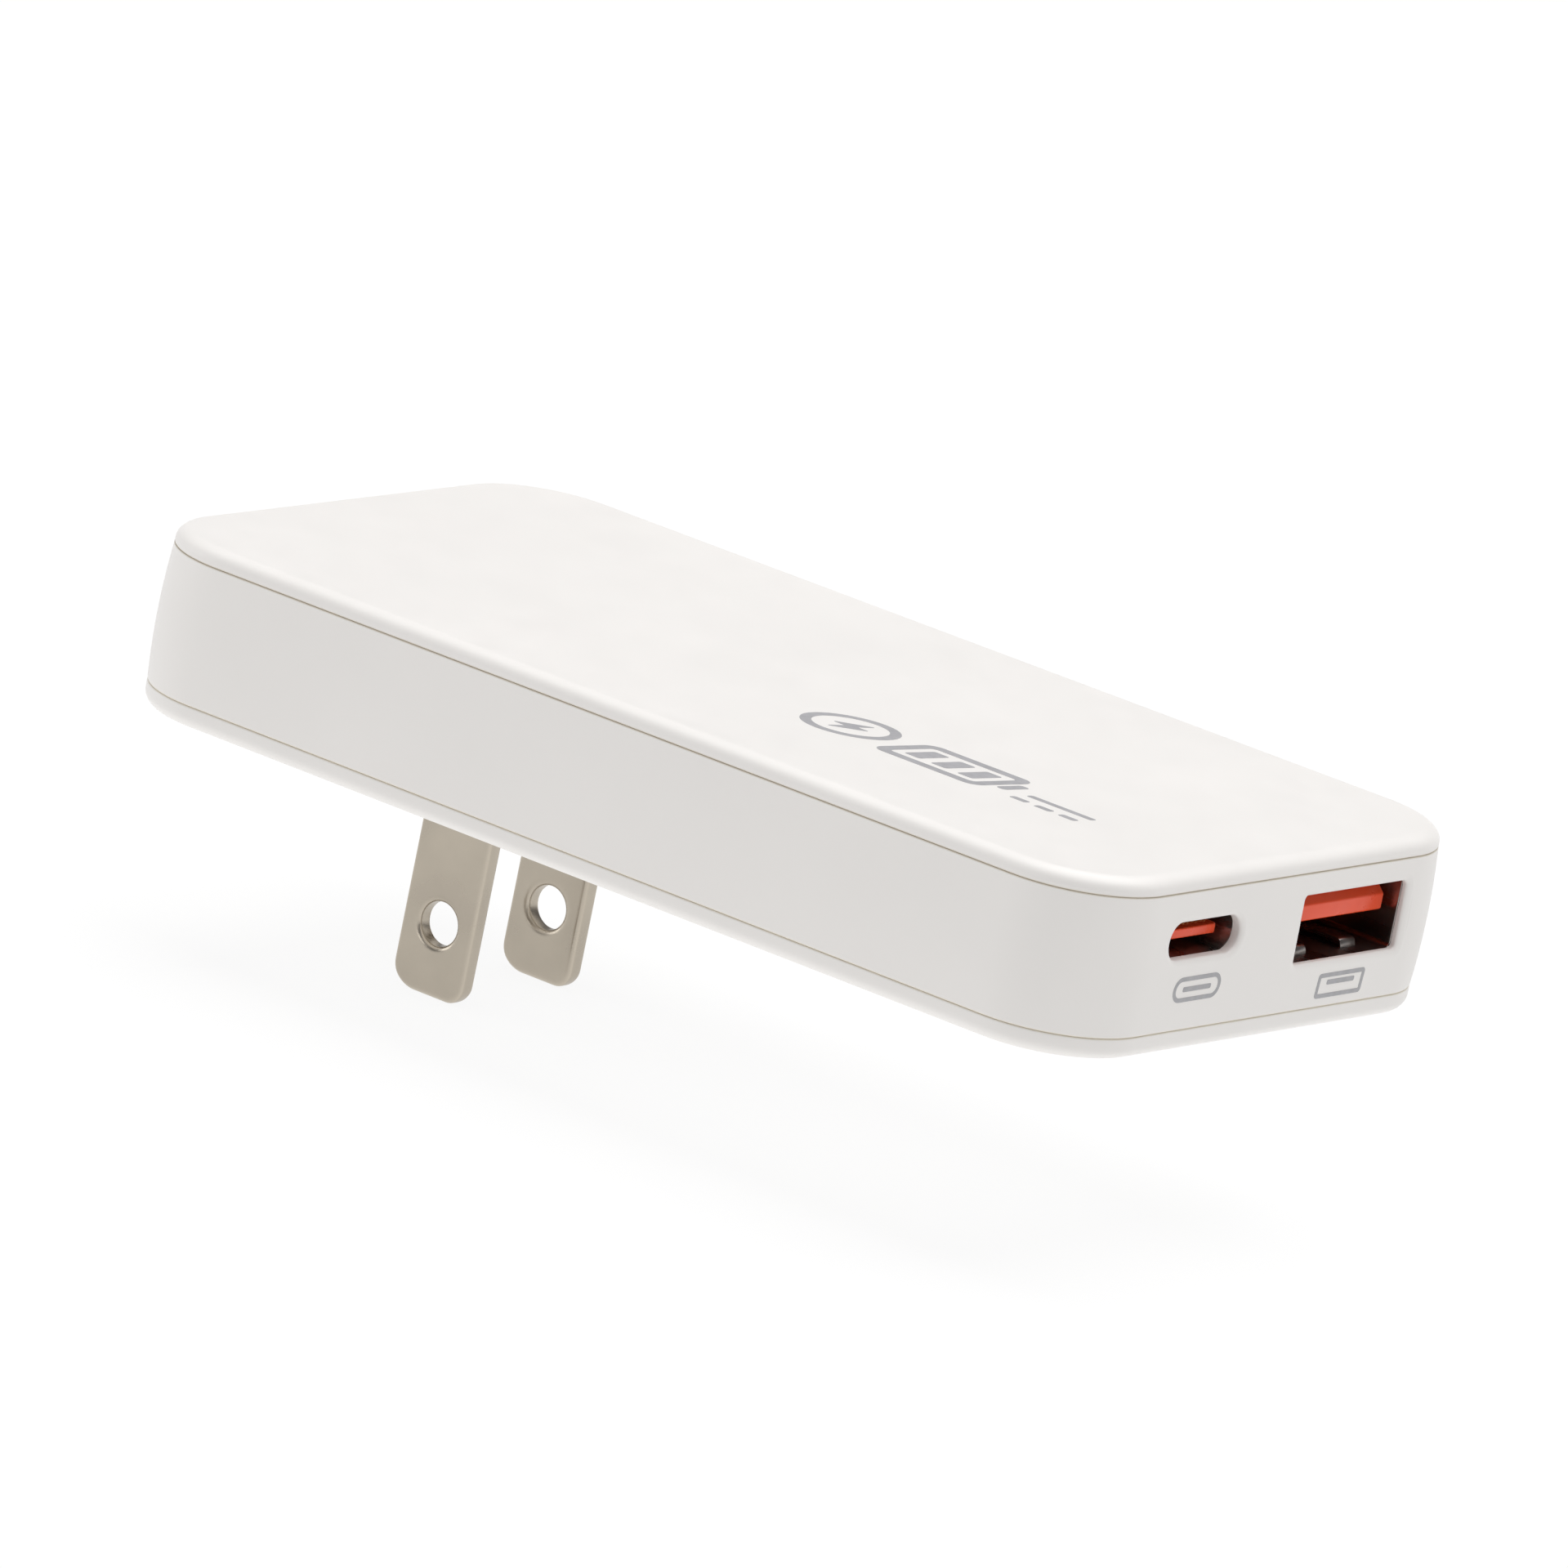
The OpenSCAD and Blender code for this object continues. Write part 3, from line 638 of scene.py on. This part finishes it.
def usb_a_tongue(finish):
    """Tongue under the shell's roof, with its upper front edge sloped off."""
    shape = Shape()
    rear = tongue_base(shape, USB_A, 2.6)
    half_w = 11.1 / 2
    slope = 0.65
    top = USB_A["z"] + USB_A["inside"][1] / 2 - 0.7
    low = top - 1.84
    corners = [(rear, low), (TONGUE_X, low), (TONGUE_X, top - slope),
               (TONGUE_X - slope, top), (rear, top)]
    outline = rounded(corners, [0.2, 0.2, 0.3, 0.4, 0.2])
    plate(shape, lambda d: inset(outline, d), [], half_w, 0.12,
          lambda x, z, y: (x, USB_A["y"] + y, z), step=1.5, ease=0.04)
    make_piece("usb_a_tongue_moulded", shape, "housing", finish,
               ["usb_a_tongue"])


def usb_c_tongue(finish):
    """Thin tongue in the middle of the shell, its front corners rounded."""
    shape = Shape()
    rear = tongue_base(shape, USB_C, 2.2)
    half_w = 6.69 / 2
    half_t = 0.35
    right = USB_C["y"] - half_w
    left = USB_C["y"] + half_w
    corners = [(rear, right), (TONGUE_X, right), (TONGUE_X, left), (rear, left)]
    outline = rounded(corners, [0.2, 0.45, 0.45, 0.2])
    plate(shape, lambda d: inset(outline, d), [], half_t, 0.12,
          lambda x, y, z: (x, y, USB_C["z"] + z), step=1.2, ease=0.04)
    make_piece("usb_c_tongue_moulded", shape, "housing", finish,
               ["usb_c_tongue"])


# ---- Printed marks: plain pictograms, no lettering ----

def top_marks(finish):
    """A ringed bolt, a battery with three bars and a direct-current sign on the cover."""
    shape = Shape()
    lean = 0.22
    foot_y = -11.2
    ink_half_t = 0.008
    ink_z = TOP_Z + ink_half_t / 2

    def place(u, v, height):
        """u runs along the body and v up the marks from their foot, leaning forward."""
        return (u + lean * v, foot_y + v, ink_z + height)

    def stamp(outline, holes=()):
        plate(shape, lambda d: outline, [lambda d, h=h: h for h in holes], ink_half_t, 0, place)

    badge = (31.0, 3.1)
    stamp(circle(badge, 3.25, 36), [circle(badge, 2.5, 36)])
    bolt = [(-0.5, -1.9), (1.35, 0.35), (0.3, 0.35), (0.6, 1.9), (-1.35, -0.3), (-0.25, -0.3)]
    corners = [(badge[0] + u, badge[1] + v) for u, v in bolt]
    stamp(rounded(corners, [0.1] * len(bolt), 3))

    battery = (40.0, 3.1)
    stamp(rectangle((9.0, 5.8), 1.0, centre=battery),
          [rectangle((7.3, 4.1), 0.4, centre=battery)])
    stamp(rectangle((0.8, 2.4), 0.3, centre=(battery[0] + 5.2, battery[1])))
    for along in (-2.3, 0, 2.3):
        stamp(rectangle((1.35, 2.8), 0.2, centre=(battery[0] + along, battery[1])))

    sign = (49.8, 2.7)
    stroke = 0.6
    stamp(rectangle((5.6, stroke), 0.2, centre=sign))
    for along in (-2.1, 0, 2.1):
        stamp(rectangle((1.4, stroke), 0.2, centre=(sign[0] + along, sign[1] - 1.6)))
    make_piece("top_marks", shape, "housing", finish)


def port_marks(finish):
    """An outline of each port's plug under its window, with its tongue in it."""
    shape = Shape()
    size = (5.6, 1.85)
    stroke = 0.32
    hollow = [side - 2 * stroke for side in size]
    ink_half_t = 0.012

    def stamp(outline, holes=()):
        plate(shape, lambda d: outline, [lambda d, h=h: h for h in holes], ink_half_t, 0,
              lambda y, z, x: (panel_x(z) + ink_half_t / 2 + x, y, z))

    for port, z, radius, tongue_up in ((USB_C, 4.7, 0.92, 0), (USB_A, 3.25, 0.3, 0.22)):
        middle = (port["y"], z)
        inner_r = max(0.08, radius - stroke)
        stamp(rectangle(size, radius, centre=middle),
              [rectangle(hollow, inner_r, centre=middle)])
        stamp(rectangle((3.3, 0.36), 0.12, centre=(port["y"], z + tongue_up)))
    make_piece("port_marks", shape, "housing", finish)


# ---- Materials ----

class Finish:
    """A material in the making, painted in the object's own coordinates."""

    def __init__(self, name, stretch=(1, 1, 1)):
        self.material = bpy.data.materials.new(name)
        self.material.use_nodes = True
        self.tree = self.material.node_tree
        self.shader = next(n for n in self.tree.nodes if n.type == "BSDF_PRINCIPLED")
        self.coords = self.tree.nodes.new("ShaderNodeTexCoord")
        mapping = self.tree.nodes.new("ShaderNodeMapping")
        mapping.inputs["Scale"].default_value = stretch
        self.link(self.coords.outputs["Object"], mapping.inputs["Vector"])
        self.where = mapping.outputs["Vector"]
        self.normal = None

    def link(self, source, target):
        self.tree.links.new(source, target)

    def noise(self, scale, detail=2.0):
        """Noise with features about 1 / scale metres across."""
        node = self.tree.nodes.new("ShaderNodeTexNoise")
        node.inputs["Scale"].default_value = scale
        node.inputs["Detail"].default_value = detail
        self.link(self.where, node.inputs["Vector"])
        return node.outputs["Fac"]

    def ramp(self, source, stops):
        """Colours picked by a value, from (value, colour) stops."""
        node = self.tree.nodes.new("ShaderNodeValToRGB")
        elements = node.color_ramp.elements
        while len(elements) < len(stops):
            elements.new(0.5)
        for element, (position, color) in zip(elements, stops):
            element.position = position
            element.color = (*color, 1)
        self.link(source, node.inputs["Fac"])
        return node.outputs["Color"]

    def mottle(self, noise, dark, light):
        """Wanders between two colours through the middle of a noise's range."""
        return self.ramp(noise, [(0.3, dark), (0.7, light)])

    def mix(self, share, one, other):
        """One colour where the share is 0 and the other where it is 1."""
        node = self.tree.nodes.new("ShaderNodeMix")
        node.data_type = "RGBA"
        self.link(share, node.inputs["Factor"])
        sockets = [s for s in node.inputs if s.type == "RGBA"]
        for value, socket in zip((one, other), sockets):
            if isinstance(value, tuple):
                socket.default_value = (*value, 1)
            else:
                self.link(value, socket)
        return next(s for s in node.outputs if s.type == "RGBA")

    def math(self, kind, one, other):
        """A sum on two numbers or outputs."""
        node = self.tree.nodes.new("ShaderNodeMath")
        node.operation = kind
        for value, socket in zip((one, other), node.inputs):
            if isinstance(value, (int, float)):
                socket.default_value = value
            else:
                self.link(value, socket)
        return node.outputs[0]

    def spread(self, source, low, high):
        """Maps the middle of a noise's range to low..high."""
        node = self.tree.nodes.new("ShaderNodeMapRange")
        node.inputs["From Min"].default_value = 0.3
        node.inputs["From Max"].default_value = 0.7
        node.inputs["To Min"].default_value = low
        node.inputs["To Max"].default_value = high
        self.link(source, node.inputs["Value"])
        return node.outputs["Result"]

    def color(self, source):
        self.link(source, self.shader.inputs["Base Color"])

    def roughness(self, source):
        self.link(source, self.shader.inputs["Roughness"])

    def bump(self, source, depth):
        """Adds relief of this depth in metres on top of what is there."""
        node = self.tree.nodes.new("ShaderNodeBump")
        node.inputs["Distance"].default_value = depth
        self.link(source, node.inputs["Height"])
        if self.normal:
            self.link(self.normal, node.inputs["Normal"])
        self.normal = node.outputs["Normal"]
        self.link(self.normal, self.shader.inputs["Normal"])

    def set(self, **values):
        """Sets inputs of the shader, with _ for each space in their names."""
        for socket, value in values.items():
            self.shader.inputs[socket.replace("_", " ")].default_value = value

    def edges(self):
        """1 on the rounded edges of a plate that faces along Y, 0 on its flats and sides: the
        mask of a painted highlight.
        """
        parts = self.tree.nodes.new("ShaderNodeSeparateXYZ")
        self.link(self.coords.outputs["Normal"], parts.inputs["Vector"])
        facing = self.math("ABSOLUTE", parts.outputs["Y"], 0)
        grey = [(0.0, 0.0), (0.25, 0.3), (0.5, 1.0), (0.7, 0.8), (0.99, 0.0)]
        return self.ramp(facing, [(place, (level,) * 3) for place, level in grey])

    def line(self, height, solid, fade):
        """1 within the solid distance of a level height, falling to 0 at the fade distance."""
        parts = self.tree.nodes.new("ShaderNodeSeparateXYZ")
        self.link(self.where, parts.inputs["Vector"])
        offset = self.math("ABSOLUTE", self.math("SUBTRACT", parts.outputs["Z"], height), 0)
        node = self.tree.nodes.new("ShaderNodeMapRange")
        node.inputs["From Min"].default_value = fade
        node.inputs["From Max"].default_value = solid
        self.link(offset, node.inputs["Value"])
        return node.outputs["Result"]

    def specks(self, cell, share, size):
        """1 in small dots of a size, in this share of cells that many metres wide, else 0."""
        cells = self.tree.nodes.new("ShaderNodeTexVoronoi")
        cells.inputs["Scale"].default_value = 1 / cell
        self.link(self.where, cells.inputs["Vector"])
        is_near = self.math("LESS_THAN", cells.outputs["Distance"], size / cell)
        parts = self.tree.nodes.new("ShaderNodeSeparateColor")
        self.link(cells.outputs["Color"], parts.inputs["Color"])
        is_chosen = self.math("LESS_THAN", parts.outputs["Red"], share)
        return self.math("MULTIPLY", is_near, is_chosen)


def shade(color, factor):
    """The colour made darker or lighter."""
    return tuple(min(1.0, c * factor) for c in color)


def white_plastic(name, color, rough):
    """Satin moulded plastic: fine spark texture, faint mottling, dust, and painted shade along
    the seams.
    """
    paint = Finish(name)
    tone = paint.mottle(paint.noise(70, 4), shade(color, 0.985), shade(color, 1.01))
    dust = paint.specks(0.0042, 0.05, 0.00011)
    tone = paint.mix(dust, tone, (0.56, 0.5, 0.44))
    # Painted shade: each seam is drawn as a darker beige band, the top seam darker than the low
    # one.
    for seam, painted_seam_shade in ((LOW_SEAM_Z, (0.79, 0.735, 0.63)), (TOP_SEAM_Z, (0.66, 0.6, 0.5))):
        tone = paint.mix(paint.line(seam * MM, 0.00003, 0.00013), tone, painted_seam_shade)
    flecks = paint.specks(0.0075, 0.05, 0.00024)
    paint.color(paint.mix(flecks, tone, (0.72, 0.66, 0.6)))
    paint.roughness(paint.spread(paint.noise(420, 3), rough - 0.035, rough + 0.035))
    paint.bump(paint.noise(5200, 2), 0.0000035)
    paint.bump(paint.noise(260, 2), 0.000004)
    paint.set(IOR=1.48)
    return paint.material


def nickel(name):
    """Satin nickel plate with fine rolled lines, handling smudges and a painted highlight along
    its rounded edges.
    """
    color = (0.45, 0.402, 0.333)
    paint = Finish(name, (1, 1, 0.06))
    lines = paint.noise(5200, 3)
    # Only the rolled lines are stretched.
    paint.where = paint.coords.outputs["Object"]
    smudge = paint.noise(230, 3)
    tone = paint.ramp(smudge, [(0.32, shade(color, 0.93)), (0.68, shade(color, 1.05))])
    # Painted highlight: the rounded edges get a lighter colour than the flats.
    paint.color(paint.mix(paint.edges(), tone, shade(color, 1.22)))
    paint.roughness(paint.spread(smudge, 0.25, 0.36))
    paint.bump(lines, 0.0000012)
    paint.bump(paint.noise(900, 2), 0.0000025)
    paint.set(Metallic=1.0)
    return paint.material


def plain(name, color, metallic=0.0, rough=0.5, tone=0.06, tone_scale=300, grain=2500,
          relief=0.000005, stretch=(1, 1, 1), **sockets):
    """A moulded, dipped, rolled or sintered surface, told apart by its numbers."""
    paint = Finish(name, stretch)
    patches = paint.noise(tone_scale, 3)
    paint.color(paint.mottle(patches, shade(color, 1 - tone), shade(color, 1 + tone)))
    paint.roughness(paint.spread(paint.noise(tone_scale * 1.7, 2), rough - 0.06, rough + 0.06))
    paint.bump(paint.noise(grain, 3), relief)
    paint.set(Metallic=metallic, **sockets)
    return paint.material


def circuit_board(name):
    """Green solder mask over copper tracks, with a fine woven relief."""
    paint = Finish(name)
    tracks = paint.tree.nodes.new("ShaderNodeTexVoronoi")
    tracks.feature = "DISTANCE_TO_EDGE"
    tracks.inputs["Scale"].default_value = 320
    paint.link(paint.where, tracks.inputs["Vector"])
    is_track = paint.math("LESS_THAN", tracks.outputs["Distance"], 0.09)
    mask = paint.mottle(paint.noise(140, 3), (0.012, 0.11, 0.05), (0.016, 0.14, 0.065))
    paint.color(paint.mix(is_track, mask, (0.04, 0.24, 0.1)))
    paint.roughness(paint.spread(paint.noise(600, 2), 0.26, 0.38))
    paint.bump(is_track, 0.00003)
    paint.bump(paint.noise(3000, 2), 0.000004)
    return paint.material


def banded(name, color, band, scale, rough, relief, axis):
    """A surface with bands across an axis: a sleeve's stripes or the turns of a tape."""
    paint = Finish(name)
    wave = paint.tree.nodes.new("ShaderNodeTexWave")
    wave.inputs["Scale"].default_value = scale
    wave.inputs["Distortion"].default_value = 0.6
    wave.bands_direction = axis
    paint.link(paint.where, wave.inputs["Vector"])
    paint.color(paint.ramp(wave.outputs["Fac"], [(0.35, color), (0.75, band)]))
    paint.roughness(paint.spread(paint.noise(500, 2), rough - 0.05, rough + 0.05))
    paint.bump(wave.outputs["Fac"], relief)
    return paint.material


def print_ink(name):
    """Grey pad-printed ink, a little uneven."""
    paint = Finish(name)
    color = (0.4, 0.395, 0.41)
    paint.color(paint.mottle(paint.noise(1500, 3), shade(color, 0.93), shade(color, 1.08)))
    paint.roughness(paint.spread(paint.noise(900, 2), 0.4, 0.5))
    paint.bump(paint.noise(4000, 2), 0.000002)
    return paint.material


def studio_floor(name):
    """Pale acrylic light table."""
    paint = Finish(name)
    paint.color(paint.mottle(paint.noise(4, 2), (0.12, 0.12, 0.12), (0.13, 0.13, 0.13)))
    paint.roughness(paint.spread(paint.noise(30, 2), 0.75, 0.85))
    paint.bump(paint.noise(200, 2), 0.00002)
    paint.set(Emission_Color=(1, 1, 1, 1), Emission_Strength=0.885)
    paint.set(Specular_IOR_Level=0.0)
    paint.material.cycles.emission_sampling = "NONE"
    return paint.material


# The slots with a plain surface, and where each differs from plain's own settings.
PLAIN_LOOKS = {
    "copper_leaf": dict(color=(0.72, 0.36, 0.19), metallic=1, rough=0.3, relief=0.000002,
                        stretch=(0.08, 1, 1)),
    "spring_steel": dict(color=(0.5, 0.5, 0.51), metallic=1, rough=0.3, relief=0.000002,
                         stretch=(0.08, 1, 1)),
    "black_wire": dict(color=(0.018, 0.018, 0.02), rough=0.45, tone=0.2),
    "white_wire": dict(color=(0.66, 0.67, 0.68), rough=0.45),
    "amber_film": dict(color=(0.68, 0.46, 0.12), rough=0.22, tone=0.1, tone_scale=120,
                       relief=0.00001, Coat_Weight=0.3),
    "fuse_body": dict(color=(0.72, 0.71, 0.68), rough=0.4, tone=0.05, tone_scale=500),
    "green_disc": dict(color=(0.035, 0.10, 0.05), rough=0.28, tone=0.15, tone_scale=500,
                       grain=900, relief=0.00003),
    "blue_disc": dict(color=(0.02, 0.11, 0.42), rough=0.28, tone=0.15, tone_scale=500,
                      grain=900, relief=0.00003),
    "yellow_box": dict(color=(0.75, 0.50, 0.03), rough=0.4, tone_scale=200),
    "ferrite": dict(color=(0.045, 0.045, 0.048), rough=0.55, tone=0.25, tone_scale=2200,
                    grain=3000, relief=0.00001, Sheen_Weight=0.05),
    "green_ferrite": dict(color=(0.03, 0.11, 0.07), rough=0.4, tone=0.15, tone_scale=700,
                          grain=2200, relief=0.00001),
    "enamel_wire": dict(color=(0.62, 0.24, 0.09), metallic=0.9, rough=0.25, tone=0.12,
                        tone_scale=900, Coat_Weight=0.5),
    "can_aluminium": dict(color=(0.72, 0.72, 0.74), metallic=1, rough=0.28, tone=0.05,
                          tone_scale=400, relief=0.000003, stretch=(1, 1, 0.05)),
    "chip_epoxy": dict(color=(0.022, 0.022, 0.024), tone=0.2, tone_scale=900, grain=4000,
                       relief=0.000006),
    "white_chip": dict(color=(0.62, 0.61, 0.58), rough=0.48, tone=0.05, tone_scale=500),
    "grey_block": dict(color=(0.13, 0.13, 0.135), metallic=0.2, tone=0.2, tone_scale=1500,
                       grain=3000, relief=0.00001),
    "tan_ceramic": dict(color=(0.48, 0.34, 0.19), rough=0.35, tone=0.1, tone_scale=900),
    "spreader_aluminium": dict(color=(0.68, 0.68, 0.7), metallic=1, rough=0.3, relief=0.000004,
                               stretch=(0.05, 1, 1)),
    "grey_pad": dict(color=(0.26, 0.33, 0.42), rough=0.7, tone=0.08, tone_scale=700, grain=1500,
                     relief=0.00002),
    "port_steel": dict(color=(0.32, 0.295, 0.28), metallic=1, rough=0.3, tone=0.08,
                       tone_scale=500, relief=0.000003, stretch=(0.1, 1, 1)),
    "orange_tongue": dict(color=(0.98, 0.085, 0.018), rough=0.3, tone=0.04, grain=2600,
                          relief=0.0000015),
    "gold_contact": dict(color=(0.86, 0.58, 0.22), metallic=1, rough=0.22, tone=0.05,
                         tone_scale=600, relief=0.000002, stretch=(0.1, 1, 1)),
}


def make_finishes():
    """One material for each slot of the record."""
    finishes = {
        "white_housing": white_plastic("white_housing", (0.885, 0.86, 0.832), 0.42),
        "white_inner": white_plastic("white_inner", (0.80, 0.79, 0.77), 0.5),
        "nickel_blade": nickel("nickel_blade"),
        "green_board": circuit_board("green_board"),
        "yellow_tape": banded("yellow_tape", (0.78, 0.55, 0.06), (0.66, 0.43, 0.04), 90, 0.3,
                              0.00003, "Z"),
        "capacitor_sleeve": banded("capacitor_sleeve", (0.018, 0.025, 0.065),
                                   (0.03, 0.04, 0.1), 40, 0.3, 0.00001, "Y"),
    }
    for name, look in PLAIN_LOOKS.items():
        finishes[name] = plain(name, **look)
    return finishes


def paint_cad_nodes(finishes):
    """Gives each CAD node that still shows the material of its slot."""
    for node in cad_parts.values():
        if node.hide_render:
            continue
        for place in node.material_slots:
            place.material = finishes[place.material.name.split(".")[0]]


# ---- Studio ----

def studio():
    """A wide floor just under the blade tips, soft lights and a dim sky."""
    below_tips = 0.02
    half = 40.0
    mesh = bpy.data.meshes.new("studio_floor")
    corners = [(-half, -half, 0), (half, -half, 0), (half, half, 0), (-half, half, 0)]
    mesh.from_pydata(corners, [], [(0, 1, 2, 3)])
    floor = bpy.data.objects.new("studio_floor", mesh)
    floor.location = (0, 0, (BLADE_TIP_Z - below_tips) * MM)
    mesh.materials.append(studio_floor("studio_floor"))
    bpy.context.scene.collection.objects.link(floor)
    sky()
    target = Vector((0.02, 0, 0.005))
    soft_light("overhead", (0.04, 0.2, 1.1), target, 1.3, 17)
    soft_light("front", (-0.15, -1.0, 0.25), target, 0.3, 0.68)
    soft_light("ports", (1.1, 0.1, 0.35), target, 0.35, 0.42)
    soft_light("left", (-0.8, -0.35, 0.2), target, 0.35, 0.9)


def sky():
    """World light: as pale as the floor near the horizon, and a dim grey above it."""
    world = bpy.data.worlds.new("studio")
    world.use_nodes = True
    tree = world.node_tree
    coords = tree.nodes.new("ShaderNodeTexCoord")
    parts = tree.nodes.new("ShaderNodeSeparateXYZ")
    ramp = tree.nodes.new("ShaderNodeValToRGB")
    tree.links.new(coords.outputs["Generated"], parts.inputs["Vector"])
    tree.links.new(parts.outputs["Z"], ramp.inputs["Fac"])
    tree.links.new(ramp.outputs["Color"], tree.nodes["Background"].inputs["Color"])
    elements = ramp.color_ramp.elements
    elements[0].position = 0.06
    elements[0].color = (0.91, 0.91, 0.91, 1)
    elements[1].position = 0.2
    elements[1].color = (0.14, 0.14, 0.145, 1)
    bpy.context.scene.world = world


def soft_light(name, place, target, size, power):
    """A square light that faces the target."""
    data = bpy.data.lights.new(name, "AREA")
    data.size = size
    data.energy = power
    light = bpy.data.objects.new(name, data)
    light.location = place
    light.rotation_euler = (target - Vector(place)).to_track_quat("-Z", "Y").to_euler()
    bpy.context.scene.collection.objects.link(light)


def camera():
    """A long lens towards the port end and one long side, turned about its line of sight."""
    data = bpy.data.cameras.new("camera")
    data.sensor_width = 36.0
    data.lens = 433.96
    data.clip_start = 0.01
    data.clip_end = 200.0
    azimuth = math.radians(-55.8516)
    elevation = math.radians(14.1228)
    roll = math.radians(11.5463)
    distance = 1.33
    target = Vector((0.01682, 0.00719, 0.00273))
    level = Vector((math.cos(azimuth), math.sin(azimuth), 0))
    away = level * math.cos(elevation) + Vector((0, 0, math.sin(elevation)))
    turn = (-away).to_track_quat("-Z", "Y") @ Quaternion((0, 0, 1), roll)
    view = bpy.data.objects.new("camera", data)
    view.matrix_world = Matrix.Translation(target + distance * away) @ turn.to_matrix().to_4x4()
    bpy.context.scene.collection.objects.link(view)
    bpy.context.scene.camera = view


# ---- The whole charger, and its picture ----

finishes = make_finishes()
top_cover(finishes["white_housing"])
side_frame(finishes["white_housing"])
bottom_cover(finishes["white_housing"])
blade("live_blade_plate", -BLADE_Y, "live_blade", finishes["nickel_blade"])
blade("neutral_blade_plate", BLADE_Y, "neutral_blade", finishes["nickel_blade"])
port_shell("usb_a_shell_drawn", USB_A, "usb_a_shell", finishes["port_steel"], springs=True)
port_shell("usb_c_shell_drawn", USB_C, "usb_c_shell", finishes["port_steel"])
usb_a_tongue(finishes["orange_tongue"])
usb_c_tongue(finishes["orange_tongue"])
ink = print_ink("print_ink")
top_marks(ink)
port_marks(ink)
paint_cad_nodes(finishes)
studio()
camera()
bpy.context.scene.view_settings.view_transform = "Standard"
